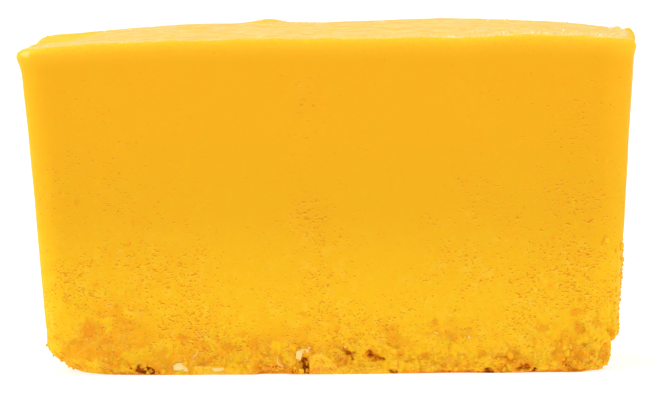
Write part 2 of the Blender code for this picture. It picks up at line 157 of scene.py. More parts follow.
# Undercut notches in the foot, by the side they open to: place along the side, half width, rise
FRONT_NOTCHES = ((-14.4, 3.7, 1.6),)
BACK_NOTCHES = ((31.0, 5.5, 1.7), (-22.0, 3.5, 1.2))
LEFT_NOTCHES = ()
RIGHT_NOTCHES = ((14.0, 4.0, 1.5),)
NOTCH_DEPTH = 2.4 * MM
NOTCH_HOLLOW = 2.4
NOTCH_EDGE = 0.8 * MM

# Hollows torn out of the front above the foot: place along it, height, half width, half height, depth,
# in millimetres
FRONT_HOLLOWS = (
    (-46.3, 1.3, 2.5, 1.0, 2.4),
    (-6.2, 2.2, 1.2, 2.3, 2.6),
    (5.1, 5.2, 1.3, 1.2, 1.9),
    (3.4, 6.3, 0.8, 0.7, 1.5),
    (10.0, 4.9, 1.0, 0.9, 1.9),
    (12.2, 3.8, 1.4, 0.8, 1.9),
    (2.7, 3.4, 1.5, 1.0, 0.7),
    (15.9, 0.5, 1.0, 0.8, 1.7),
    (39.3, 0.6, 1.7, 0.9, 1.9),
    (48.2, 1.2, 2.5, 0.9, 1.9),
    (59.2, 2.0, 1.4, 1.4, 1.1),
    (-37.2, 9.6, 2.2, 0.9, 0.4),
    (-59.8, 10.8, 1.7, 2.4, 0.4),
    (61.2, 15.0, 2.0, 1.1, 0.35),
    (52.7, 11.0, 2.4, 1.2, 0.35),
    (-25.5, 7.2, 3.4, 1.5, 0.4),
    (26.5, 11.5, 2.0, 1.6, 0.35),
    (16.0, 10.0, 1.4, 1.8, 0.35),
)
HOLLOW_WALL = 2.6
HOLLOW_WANDER = 1.0
HOLLOW_WANDER_SIZE = 1.3 * MM

# Hollows on the other three sides, drawn at random, in millimetres: how far from the side's middle, at what
# heights, just over the base or in the torn skin, and between what sizes and depths
HOLLOWS_ELSEWHERE = 22
HOLLOW_SEED = 11
HOLLOW_REACH = {1: 32, 2: 60, 3: 32}
LOW_HOLLOWS = (0.6, 1.0)
HIGH_HOLLOWS = (2.0, 15.0)
HOLLOW_HALF_WIDTHS = (1.6, 3.2)
HOLLOW_HALF_HEIGHTS = (1.0, 2.2)
HOLLOW_DEPTHS = (0.8, 2.4)

# Peeled skin and melted film on the front of the foot: start and end along it, top edge at start and end,
# bulge of that edge, thickness, in millimetres
FOOT_FILMS = (
    (-5.3, 1.8, 4.6, 2.0, 1.0, 0.9),
    (-4.8, 14.2, 1.9, 1.6, 0.1, 0.6),
    (-34.2, -22.4, 2.1, 1.5, 0.3, 0.6),
)
FILM_EDGE = 0.5
FILM_COVERS_FROM = 0.3 * MM
FILM_SMOOTHS = 0.85

# The torn skin: its upper edge in millimetres along the front, and the sizes and depths of its relief
TORN_EDGE = ((-76, 14), (-69, 16), (-60, 26), (-40, 20), (-10, 17), (20, 18), (45, 17), (62, 21), (76, 24))
TORN_FADE = 16 * MM
TORN_WANDER = 5 * MM
LUMP_SIZE = 4.6 * MM
LUMP_HEIGHT = 1.0 * MM
LUMP_CROWN = 0.55
LUMP_GAP = 0.5
LUMP_GAP_WIDTH = 0.12
FLAKE_SIZE = 9 * MM
FLAKE_DEPTH = 0.9 * MM
FLAKE_EDGE = (0.06, 0.2)
GRAIN_SIZE = 2.4 * MM
GRAIN_HEIGHT = 0.4 * MM
WAVE_SIZE = 24 * MM
WAVE_HEIGHT = 0.3 * MM

# How coarse the foot is: all round, and on the front from its left half to its right half
COARSE_ROUND = 0.85
COARSE_FRONT = (0.5, 1.0)
COARSE_CHANGE = (-32 * MM, 14 * MM)

# Where each noise is taken from, so that no two repeat each other
SWING_IN_PLACE = 3.7
SWING_UP_PLACE = 21.3
HOLLOW_PLACE = 5.1
TORN_PLACE = 13.9
LUMP_PLACE = 1.3
FLAKE_PLACE = 31.0
GRAIN_PLACE = 47.0
WAVE_PLACE = 59.0
LEDGE_PLACE = 27.0
TOP_PLACE = 71.0

# Finer relief that only the dressed block has
CRUMB_SIZE = 1.7 * MM
CRUMB_HEIGHT = 0.36 * MM
CRUMB_CROWN = 0.5
CRUMB_GAP = 0.6
CRUMB_GAP_WIDTH = 0.15
CRUMB_PLACE = 7.7
CHIP_SIZE = 3.0 * MM
CHIP_DEPTH = 0.42 * MM
CHIP_EDGE = (0.14, 0.2)
CHIP_PLACE = 37.0
TOOTH_SIZE = 2.6 * MM
TOOTH_HEIGHT = 0.5 * MM
TOOTH_PLACE = 83.0
LEAST_RISE = 0.05 * MM
RAW_DEPTH = 0.08 * MM
RAW_EDGE = (0.35, 0.6)
RAW_SHARE = 0.5
RAW_SPREAD = 1.1
RAW_PLACE = 91.0

# The share of a hollow's depth that its loose crumbs leave open
HOLLOW_OPEN = 0.6

# Depth of a hollow that has the darkest painted shade, and the span of the torn relief's height over which
# its colour goes from painted shade to painted light
HOLLOW_DARKEST = 2.2 * MM
TONE_DEPTH = 1.6 * MM

# Upright streaks of more pits, or of fewer, on the front and the back: place along it, half width, lowest and
# highest point, in millimetres, and what they add
PIT_STREAKS = (
    (-60.0, 9.0, 20, 62, 0.4),
    (-41.0, 8.0, 18, 48, 0.3),
    (-21.0, 8.0, 24, 76, -0.35),
    (-5.0, 5.0, 18, 72, 0.35),
    (16.0, 9.0, 22, 76, -0.35),
    (36.0, 6.0, 22, 70, 0.15),
    (50.0, 6.0, 20, 40, 0.2),
    (62.0, 7.0, 16, 66, 0.5),
)

# Raw orange patches on the front where skin came away: place along it, height, half width, half height,
# strength
RAW_PATCHES = (
    (-60.0, 11.2, 1.5, 2.3, 1.0),
    (-61.5, 17.4, 1.7, 0.9, 0.8),
    (-65.0, 18.9, 2.3, 1.6, 0.6),
    (-57.0, 15.2, 1.7, 1.0, 0.8),
    (-55.3, 8.7, 1.6, 0.9, 1.0),
    (-45.9, 16.1, 1.2, 1.1, 0.7),
    (-49.8, 20.9, 1.6, 0.8, 0.7),
    (-58.0, 22.9, 1.2, 0.9, 0.9),
    (-36.7, 9.6, 1.9, 0.8, 1.0),
    (-25.5, 7.3, 2.9, 1.6, 0.6),
    (-6.4, 15.1, 1.5, 0.9, 0.9),
    (1.2, 14.7, 1.5, 0.8, 0.8),
    (2.2, 11.6, 1.1, 0.9, 0.9),
    (4.6, 12.3, 1.2, 0.8, 0.9),
    (-9.9, 5.6, 1.5, 1.3, 0.7),
    (16.0, 11.6, 1.1, 1.0, 1.0),
    (15.6, 8.9, 1.4, 1.1, 0.8),
    (26.5, 12.7, 1.0, 0.9, 1.0),
    (30.3, 13.2, 1.0, 0.8, 0.8),
    (24.6, 9.9, 1.3, 0.7, 0.8),
    (34.2, 10.8, 0.9, 0.8, 0.9),
    (41.4, 14.5, 1.3, 0.9, 0.7),
    (52.8, 10.9, 1.7, 1.3, 0.9),
    (60.8, 15.1, 1.6, 1.0, 1.0),
    (61.8, 11.3, 1.1, 1.9, 1.0),
    (66.7, 12.2, 2.1, 0.8, 0.9),
    (57.0, 7.6, 1.4, 1.7, 0.7),
    (62.5, 18.0, 0.8, 0.7, 1.0),
    (54.6, 21.9, 0.7, 0.6, 1.0),
    (60.5, 22.3, 0.7, 0.6, 1.0),
    (66.4, 45.0, 0.8, 0.7, 0.9),
    (63.7, 29.8, 0.8, 0.6, 0.9),
    (55.5, 33.6, 0.7, 0.7, 0.9),
    (-62.6, 43.4, 0.9, 1.6, 0.8),
    (-48.6, 38.5, 0.9, 0.6, 0.9),
    (-50.0, 32.6, 1.7, 0.6, 0.8),
    (-1.2, 1.3, 3.4, 0.8, 0.8),
    (8.5, 1.1, 5.0, 0.6, 0.9),
)

# Places of the torn foot painted lighter, as painted light where the light falls on them, in the same order
PAINTED_LIGHT_PATCHES = (
    (69.5, 5.0, 5.0, 5.0, 0.4),
    (38.0, 6.0, 6.0, 2.5, 0.15),
)

# Painted shade at the foot of the front, flecked, in its gaps and hollows just over the base, in the same
# order
FOOT_SHADE_PATCHES = (
    (-7.2, 0.9, 3.0, 0.8, 0.8),
    (-14.4, 1.8, 3.8, 0.4, 0.7),
    (31.0, 0.4, 11.0, 0.4, 0.7),
    (53.5, 0.4, 7.5, 0.4, 0.7),
    (48.2, 1.8, 2.0, 0.7, 0.55),
    (59.0, 2.7, 1.3, 1.3, 0.3),
    (-45.8, 1.0, 2.6, 0.9, 0.8),
    (-52.0, 0.4, 2.0, 0.3, 0.6),
)

# A painted highlight on the front left lip
LIP_HIGHLIGHT = (-74.5 * MM, -43.3 * MM, 80.3 * MM)
LIP_HIGHLIGHT_SIZE = (2.0 * MM, 3.0 * MM, 1.3 * MM)

# Between what heights the skin's colours change
UPPER_FACE_HEIGHTS = (40 * MM, 76 * MM)
LOWER_FACE_HEIGHTS = (14 * MM, 44 * MM)
RIM_HEIGHTS = (77.6 * MM, 83.1 * MM)
TOP_HEIGHTS = (83.1 * MM, 83.5 * MM)
PATCH_HEIGHTS = (22 * MM, 42 * MM)

# The skin's layers of colour, in the order they are laid on: the colour and the strength of each; several lay
# painted light and shade
LAYERS = {
    "upper_face": ("high_face", 1.0),
    "lower_face": ("low_face", 1.0),
    # rim: partly its own colour, partly painted light where the rounded rim turns up to the light
    "rim": ("rim", 1.0),
    # partly frost, partly a painted reflection of the light on the top
    "frost_and_sheen": ("frost_and_sheen", 0.42),
    # lumps and gaps: painted light on the raised torn relief, painted shade between its lumps
    "lumps": ("crumb", 0.7),
    "gaps": ("shade", 0.5),
    "raw": ("raw", 0.5),
    "bright": ("crumb", 0.5),
    "dull": ("shade", 0.22),
    "tan_patches": ("shade", 0.2),
    "light_patches": ("lip", 0.22),
    "chips": ("shade", 0.2),
    "pits": ("pit", 0.42),
    # brows and lips: painted shade on each pit's upper wall, painted highlight on its lower lip
    "brows": ("pit", 0.5),
    "lips": ("lip", 0.32),
    "flecks": ("fleck", 0.7),
    "spots": ("raw", 0.6),
    "dents": ("shade", 0.5),
    "pockets": ("shade", 0.4),
    # painted shade deep in the torn hollows
    "hollows": ("hollow", 0.8),
    # painted shade on the foot's underside
    "rubbed": ("under", 0.6),
    # painted highlight on the front left lip
    "lip_highlight": ("frost_and_sheen", 0.42),
}

# Blots in the skin: size, detail, the noise they need where they are thin and where they are thick, soft edge
PITS = (0.62 * MM, 2, 0.72, 0.6, 0.03)
DASHES = (0.8 * MM, 4, 0.75, 0.61, 0.03)
CHIPS = (1.9 * MM, 5, 0.78, 0.55, 0.02)
FLECKS = (0.9 * MM, 2, 0.95, 0.68, 0.02)
SPOTS = (1.5 * MM, 2, 0.82, 0.68, 0.02)
DASH_STRETCH = (0.6, 0.6, 1.0)
FILM_STRETCH = (0.12, 0.12, 1.0)

# How far the noises are shifted against each other; the upward shifts find the pit or chip just above a
# point, to paint shade on a pit's upper wall and a highlight on the lip under it
ABOVE_PIT = (0, 0, 0.28 * MM)
ABOVE_CHIP = (0, 0, 0.35 * MM)
MOTTLE_SHIFT = (0.019, 0.023, 0.005)
PATCH_SHIFT = (0.007, 0.029, 0.017)
FLECK_SHIFT = (0.013, 0.007, 0.021)
SPOT_SHIFT = (0.031, 0.017, 0.011)

# How pitted the skin is from its lowest to its highest part, and where the pits end
WORN_HEIGHTS = (14 * MM, 56 * MM)
WORN_SHARES = (0.85, 0.22)
WORN_PATCH_SIZE = 11 * MM
WORN_PATCHES = (0.6, 1.25)
WORN_END = (72 * MM, 79 * MM)
STREAK_FADE = 1.6
STREAK_START = 8
STREAK_END = 10

# Places of the top left without its painted sheen, as they face the front: the back left corner, and half
# sizes round the hump
UNSHEENED_CORNER_START = 62.5 * MM
UNSHEENED_CORNER_SLOPE = 4.0
UNSHEENED_CORNER_EDGE = (8 * MM, 18 * MM)
UNSHEENED_HUMP = (6 * MM, 5 * MM, 6 * MM)

# Finish of the sorbet
SKIN_ROUGHNESS = 0.48
SORBET_SCATTER = (1.0, 0.4, 0.06)

# Mesh of the dressed block
SPACING = 0.45 * MM
FOOT_ROWS = 20
FOOT_STILL_ROWS = 14
TRIANGLES = 194000
BASE_SNAP = 0.02 * MM

# Crumbs on the foot: how many, their middle half size, and where they lie
CRUMB_COUNT = 760
CRUMB_SEED = 5
CRUMB_HALF_SIZE = 0.2 * MM
CRUMB_ROUGHNESS = 0.45
CRUMB_FADE = 4.5 * MM
CRUMB_LOWEST = 0.5 * MM
CRUMB_HIGHEST = 12 * MM

# Frost crystals on the rim: how many, their middle half size, and where they lie
ICE_COUNT = 620
ICE_SEED = 8
ICE_HALF_SIZE = 0.075 * MM
ICE_ROUGHNESS = 0.5
ICE_FADE = 5 * MM
ICE_FROM_EDGE = 2.2 * MM
ICE_RIGHT = (5 * MM, 45 * MM)
ICE_END = (1 * MM, 12 * MM)
ICE_LEAST = 0.06
ICE_BACK = 0.12

# Pale flakes on the front: place along it, height, half width, half height, turn in degrees, and tint from
# yellow at 0 to cream at 1
FRONT_FLAKES = (
    (-36.6, 1.9, 2.1, 0.9, -6, 0.8),
    (-6.8, 5.8, 1.6, 0.5, 4, 0.65),
    (-7.6, 4.9, 0.75, 1.0, 0, 0.65),
    (-27.9, 1.5, 1.3, 0.5, 4, 0.6),
    (26.4, 10.2, 0.5, 0.22, -35, 0.4),
    (34.6, 9.0, 0.45, 0.35, -20, 0.5),
    (59.8, 6.6, 0.3, 0.5, 15, 0.2),
    (3.9, 6.9, 0.4, 0.2, 0, 0.6),
    (-5.1, 6.6, 0.4, 0.2, 0, 0.6),
    (30.0, 14.6, 0.45, 0.25, -30, 0.2),
)
FLAKES_ELSEWHERE = 36
FLAKE_SEED = 13
FLAKE_THICKNESS = 0.15 * MM
FLAKE_HALF_SIZE = 0.19 * MM
FLAKE_ROUGHNESS = 0.8
FLAKE_TINTS = (-0.2, 0.3)
FLAKE_FADE = 3 * MM
FLAKE_LOWEST = 1.2 * MM

# Fibres on the front: start and end along the front and in height, in millimetres, and how much each bows
FRONT_FIBRES = (
    ((-34.3, 4.2), (-32.9, 6.2), 0.1),
    ((-12.9, 4.6), (-11.3, 2.0), 0.3),
)
FIBRES_ELSEWHERE = 18
FIBRE_SEED = 21
FIBRE_RADIUS = 0.08 * MM
FIBRE_LENGTHS = (1.2, 3.0)
FIBRE_FADE = 16 * MM
FIBRE_LOWEST = 2.5 * MM
FIBRE_SIDES = 6
FIBRE_STEPS = 8

# Stage: the floor's half length and its own glow, like a light table's, the camera's sensor and the point it
# looks at, and each light's name, spread in degrees and direction
WHITE = (1.0, 1.0, 1.0, 1.0)
FLOOR_REACH = 25.0
FLOOR_GLOW = 0.74
SENSOR_WIDTH = 36.0
VIEW_MIDDLE = (0.001, -0.043, 0.0436)
LIGHTS = (
    ("above", 60, (-0.08, -0.3, 1.0)),
    ("front", 40, (-0.15, -1.0, 0.25)),
    ("left", 40, (-1.0, 0.15, 0.35)),
    ("right", 40, (1.0, -0.25, 0.22)),
    ("glint", 6, (-0.5, 0.4, 0.75)),
)


def smooth_step(value, low, high):
    """0 below low, 1 above high, and an even S between them."""
    t = np.clip((value - low) / (high - low), 0.0, 1.0)
    return t * t * (3.0 - 2.0 * t)


def smooth_curve(knots, x):
    """Height at x, in metres, of a smooth curve through knots given in millimetres."""
    kx, ky = np.array(knots, float).T * MM
    slope = np.gradient(ky, kx)
    x = np.clip(x, kx[0], kx[-1])
    i = np.clip(np.searchsorted(kx, x) - 1, 0, len(kx) - 2)
    width = kx[i + 1] - kx[i]
    t = (x - kx[i]) / width
    rise = ky[i] * (1 + 2 * t) * (1 - t) ** 2 + ky[i + 1] * t * t * (3 - 2 * t)
    return rise + width * t * (1 - t) * (slope[i] * (1 - t) - slope[i + 1] * t)


def fractal_noise(points, size, octaves, seed):
    """Soft noise of about -1 to 1 whose largest swells are size across."""
    return np.array([noise.fractal(Vector(p), 1.0, 2.0, octaves) for p in points / size + seed])


def lump_relief(points, size, place, crown, gap, gap_width):
    """Rounded lumps round scattered centres, size apart, with gaps between them."""
    near, second = np.array([noise.voronoi(Vector(p))[0][:2] for p in points / size + place]).T
    return crown - near**2 - gap * np.exp((near - second) / gap_width)


def ring_layout(spacing):
    """The number of steps along a long and a short side, and each ring point's side and place on it."""
    long_steps = round(TOP_LENGTH / spacing)
    short_steps = round(TOP_DEPTH / spacing)
    steps = (long_steps, short_steps, long_steps, short_steps)
    side = np.repeat(np.arange(4), steps)
    place = np.concatenate([np.arange(n) / n for n in steps])
    return long_steps, short_steps, side, place


def outline(side, place, half_length, half_depth, radius):
    """Points and outward directions round a rectangle with round corners, anticlockwise from the front."""
    along = np.where(side % 2 == 0, half_length, half_depth) - radius
    across = np.where(side % 2 == 0, half_depth, half_length) - radius
    travel = (place - 0.5) * (2 * along + radius * pi / 2)
    bend = np.maximum(np.abs(travel) - along, 0) / radius
    u = np.sign(travel) * (np.minimum(np.abs(travel), along) + radius * np.sin(bend))
    v = -(across + radius * np.cos(bend))
    nu = np.sign(travel) * np.sin(bend)
    nv = -np.cos(bend)
    cosine = np.array((1, 0, -1, 0))[side]
    sine = np.array((0, 1, 0, -1))[side]
    x = u * cosine - v * sine
    y = u * sine + v * cosine
    return x, y, nu * cosine - nv * sine, nu * sine + nv * cosine


def mould_outline(side, place, z, cut_x, cut_y, inset):
    """The drafted block's outline at height z, shortened by cut_x and cut_y and drawn in by inset."""
    drawn_in = (HEIGHT - z) * tan(DRAFT) + inset
    half_length = TOP_LENGTH / 2 - drawn_in - cut_x
    half_depth = TOP_DEPTH / 2 - drawn_in - cut_y
    x, y, nx, ny = outline(side, place, half_length, half_depth, CORNER_RADIUS - inset)
    return x + (HEIGHT - z) * tan(LEAN), y, nx, ny


def notch_strength(side, x, y):
    """0 to 1 where the foot is undercut, and the height of the undercut there."""
    strength = np.zeros_like(x)
    rise = np.zeros_like(x)
    for number, notches in enumerate((FRONT_NOTCHES, RIGHT_NOTCHES, BACK_NOTCHES, LEFT_NOTCHES)):
        along = x if number % 2 == 0 else y
        for centre, half_width, height in notches:
            off = np.abs(along - centre * MM)
            inside = 1.0 - smooth_step(off, half_width * MM - NOTCH_EDGE, half_width * MM + NOTCH_EDGE)
            inside = np.where(side == number, inside, 0.0)
            strength = np.maximum(strength, inside)
            rise = np.maximum(rise, inside * height * MM)
    return strength, rise


def foot_shape(side, place):
    """For each ring point, how far the lower edge is cut in along X and Y and up, and how hollow it is."""
    x, y, _, _ = mould_outline(side, place, 0.0, 0.0, 0.0, 0.0)
    edge = np.stack((x, y, np.zeros_like(x)), axis=1)
    swing_in = 1.0 + FOOT_SWING * fractal_noise(edge, FOOT_SWING_SIZE, 3, SWING_IN_PLACE)
    swing_up = 1.0 + FOOT_SWING * fractal_noise(edge, FOOT_SWING_SIZE, 3, SWING_UP_PLACE)
    from_end = np.minimum(place, 1.0 - place)
    front = (side == 0) * smooth_step(from_end, 0.0, FRONT_FOOT_END)
    front_rise = FRONT_FOOT_RISE * swing_up + smooth_curve(FRONT_FOOT_LINE, x)
    front_cut = FOOT_REACH / 2 + FRONT_FOOT_SLOPE * front_rise
    rise = FOOT_RISE * swing_up * (1 - front) + front_rise * front
    cut_x = FOOT_REACH * swing_in
    cut_y = FOOT_REACH * swing_in * (1 - front) + front_cut * front
    hollow = np.full_like(x, FOOT_HOLLOW)
    foot_end = TOP_LENGTH / 2 - HEIGHT * tan(DRAFT)
    middle = HEIGHT * tan(LEAN)
    for direction, reach, height, length in (LEFT_BREAK, RIGHT_BREAK):
        near = smooth_step(direction * (x - middle), foot_end - length, foot_end)
        cut_x += near * reach * (1 - BREAK_SWING_IN + BREAK_SWING_IN * swing_in)
        cut_y += near * reach * BREAK_INTO_FRONT
        rise += near * height * (1 - BREAK_SWING_UP + BREAK_SWING_UP * swing_up)
        hollow += near * (BREAK_HOLLOW - FOOT_HOLLOW)
    strength, notch_rise = notch_strength(side, x, y)
    cut_y += np.where(side % 2 == 0, strength * NOTCH_DEPTH, 0.0)
    cut_x += np.where(side % 2 == 1, strength * NOTCH_DEPTH, 0.0)
    rise = np.maximum(rise, notch_rise)
    teeth = TOOTH_HEIGHT * fractal_noise(edge, TOOTH_SIZE, 3, TOOTH_PLACE)
    rise = np.maximum(rise + teeth * np.clip(rise / FOOT_RISE, 0, 1), LEAST_RISE)
    hollow += strength * (NOTCH_HOLLOW - hollow)
    return cut_x, cut_y, rise, hollow


def side_rows(side, place, spacing):
    """Points, outward directions and share of painted shade on the foot's underside, in rows from the base to
    the rim's inside.
    """
    cut_x, cut_y, rise, hollow = foot_shape(side, place)
    none = np.zeros_like(rise)
    # Painted shade where the foot turns under, strongest at the base and none at the broken ends
    rubbed = smooth_step(hollow, BREAK_HOLLOW, FOOT_HOLLOW)
    rows = []
    for step in np.arange(FOOT_ROWS) / FOOT_ROWS:
        angle = step * pi / 2
        left = 1.0 - np.sin(angle) ** hollow
        z = rise * (1.0 - np.cos(angle) ** hollow)
        x, y, nx, ny = mould_outline(side, place, z, cut_x * left, cut_y * left, 0.0)
        rows.append((x, y, z, nx, ny, none, rubbed * np.cos(angle)))
    face_rows = round((HEIGHT - RIM_RADIUS) / spacing)
    for step in np.arange(face_rows) / face_rows:
        z = rise + (HEIGHT - RIM_RADIUS - rise) * step
        x, y, nx, ny = mould_outline(side, place, z, 0.0, 0.0, 0.0)
        rows.append((x, y, z, nx, ny, none, none))
    rim_rows = round(RIM_RADIUS * pi / 2 / spacing) + 1
    for step in np.arange(rim_rows + 1) / rim_rows:
        angle = step * pi / 2
        inset = RIM_RADIUS * (1.0 - np.cos(angle))
        z = np.full_like(rise, HEIGHT - RIM_RADIUS * (1.0 - np.sin(angle)))
        x, y, nx, ny = mould_outline(side, place, z, 0.0, 0.0, inset)
        upward = np.full_like(x, np.sin(angle))
        rows.append((x, y, z, nx * np.cos(angle), ny * np.cos(angle), upward, none))
    table = np.array(rows)
    return table[:, :3].transpose(0, 2, 1), table[:, 3:6].transpose(0, 2, 1), table[:, 6]


def cap_inside(ring, long_steps, short_steps):
    """Points inside a closed ring, blended from its four sides."""
    corner = np.cumsum((0, long_steps, short_steps, long_steps))
    front = ring[: long_steps + 1]
    right = ring[corner[1] : corner[2] + 1]
    back = ring[corner[2] : corner[3] + 1][::-1]
    left = np.concatenate((ring[corner[3] :], ring[:1]))[::-1]
    u = np.linspace(0, 1, long_steps + 1)[1:-1, None, None]
    v = np.linspace(0, 1, short_steps + 1)[None, 1:-1, None]
    blend = (1 - v) * front[1:-1, None] + v * back[1:-1, None]
    blend = blend + (1 - u) * left[None, 1:-1] + u * right[None, 1:-1]
    blend -= (1 - u) * ((1 - v) * front[0] + v * back[0])
    blend -= u * ((1 - v) * front[-1] + v * back[-1])
    return blend


def cap_faces(ring_start, inside_start, long_steps, short_steps, ring_size):
    """Quads of a cap between its ring and the points inside it, seen from above anticlockwise."""
    index = np.empty((long_steps + 1, short_steps + 1), int)
    inner = np.arange((long_steps - 1) * (short_steps - 1)).reshape(long_steps - 1, short_steps - 1)
    index[1:-1, 1:-1] = inside_start + inner
    ring = ring_start + np.arange(ring_size)
    index[:, 0] = ring[: long_steps + 1]
    index[-1, :] = ring[long_steps : long_steps + short_steps + 1]
    index[:, -1] = ring[long_steps + short_steps : 2 * long_steps + short_steps + 1][::-1]
    index[0, :] = np.append(ring[2 * long_steps + short_steps :], ring[0])[::-1]
    corners = (index[:-1, :-1], index[1:, :-1], index[1:, 1:], index[:-1, 1:])
    return np.stack([c.ravel() for c in corners], axis=1)


def dip(off_u, off_v, sharpness):
    """1 at the middle of an oval, 0 outside it, with a wall that is steeper the larger the sharpness."""
    return np.clip((1.0 - off_u * off_u - off_v * off_v) * sharpness, 0.0, 1.0)


def hollows_elsewhere():
    """Hollows torn out of the other three sides, drawn at random: side, place, height, half sizes, depth."""
    draw = np.random.default_rng(HOLLOW_SEED)
    found = []
    for _ in range(HOLLOWS_ELSEWHERE):
        number = draw.choice((1, 2, 2, 3))
        reach = HOLLOW_REACH[number]
        height = draw.uniform(*(LOW_HOLLOWS if draw.random() < 0.5 else HIGH_HOLLOWS))
        half_width = draw.uniform(*HOLLOW_HALF_WIDTHS)
        half_height = draw.uniform(*HOLLOW_HALF_HEIGHTS)
        centre = draw.uniform(-reach, reach)
        found.append((number, centre, height, half_width, half_height, draw.uniform(*HOLLOW_DEPTHS)))
    return found


def hollow_depth(points, outward):
    """Depth of the torn hollows at each point."""
    x, y, z = points.T
    wander = fractal_noise(points, HOLLOW_WANDER_SIZE, 3, HOLLOW_PLACE) * HOLLOW_WANDER
    facing = (-outward[:, 1], outward[:, 0], outward[:, 1], -outward[:, 0])
    front = [(0, *hollow) for hollow in FRONT_HOLLOWS]
    depth = np.zeros_like(x)
    for number, centre, height, half_width, half_height, deep in front + hollows_elsewhere():
        along = x if number % 2 == 0 else y
        off_along = (along - centre * MM) / (half_width * MM)
        off_up = (z - height * MM) / (half_height * MM)
        oval = dip(off_along + wander, off_up - wander, HOLLOW_WALL)
        depth = np.maximum(depth, oval * np.clip(facing[number] * 2 - 1, 0, 1) * deep * MM)
    return depth


def film_height(points, outward):
    """Thickness of the peeled skin and film on the front of the foot."""
    x, _, z = points.T
    facing = smooth_step(-outward[:, 1], 0.6, 0.9)
    height = np.zeros_like(x)
    for start, end, start_top, end_top, bulge, thick in FOOT_FILMS:
        t = np.clip((x / MM - start) / (end - start), 0.0, 1.0)
        edge = start_top + (end_top - start_top) * t * t + bulge * np.sin(pi * t)
        from_end = np.minimum(x / MM - start, end - x / MM)
        inside = smooth_step(from_end, 0.0, FILM_EDGE)
        under = 1 - smooth_step(z / MM, edge - FILM_EDGE, edge)
        height = np.maximum(height, facing * inside * under * thick * MM)
    return height


def lip_height(points):
    """Reach of the melted lips at the corners of the rim."""
    x, y, z = points.T
    height = np.zeros_like(x)
    for side_x, side_y, level, reach, spread_z, spread_along in LIPS:
        off_x = x - side_x * (TOP_LENGTH / 2 - CORNER_RADIUS / 2)
        off_y = y - side_y * (TOP_DEPTH / 2 - CORNER_RADIUS / 2)
        near = np.exp(-(off_x**2 + off_y**2) / spread_along**2)
        below = np.where(z < level, spread_z * LIP_SAG, spread_z)
        height += reach * near * np.exp(-(((z - level) / below) ** 2))
    return height


def torn_strength(points):
    """0 on whole skin, rising to 1 where the skin near the foot is torn."""
    wander = TORN_WANDER * fractal_noise(points, FLAKE_SIZE, 2, TORN_PLACE)
    edge = smooth_curve(TORN_EDGE, points[:, 0]) + wander
    return 1.0 - smooth_step(points[:, 2], edge - TORN_FADE, edge)


def ledge_depth(points, outward):
    """Depth of the ledge along the lowest part of the right side."""
    edge = LEDGE_TOP + LEDGE_WANDER * fractal_noise(points, FLAKE_SIZE, 2, LEDGE_PLACE)
    below = 1 - smooth_step(points[:, 2], edge - LEDGE_STEP, edge)
    return LEDGE_DEPTH * below * smooth_step(outward[:, 0], 0.25, 0.75)


def coarseness(points, outward):
    """How strongly the torn foot crumbles: less on the left half of the front."""
    facing = smooth_step(-outward[:, 1], 0.3, 0.8)
    low, high = COARSE_FRONT
    front = low + (high - low) * smooth_step(points[:, 0], *COARSE_CHANGE)
    return COARSE_ROUND + facing * (front - COARSE_ROUND)


def patch_field(points, outward, patches):
    """A soft field that is high in the listed patches of the front."""
    x, _, z = points.T
    field = np.zeros_like(x)
    facing = outward[:, 1] < -0.5
    for centre, height, half_width, half_height, strength in patches:
        off = ((x - centre * MM) / (half_width * MM)) ** 2 + ((z - height * MM) / (half_height * MM)) ** 2
        field = np.maximum(field, strength * np.exp(-0.7 * off) * facing)
    return field


def raw_field(points, outward, torn):
    """A soft field that is high where skin came away and the rawer, more orange inside shows."""
    scattered = RAW_SHARE + RAW_SPREAD * fractal_noise(points, LUMP_SIZE, 2, RAW_PLACE)
    return np.maximum(patch_field(points, outward, RAW_PATCHES), np.clip(scattered, 0, 1) * torn * 0.8)


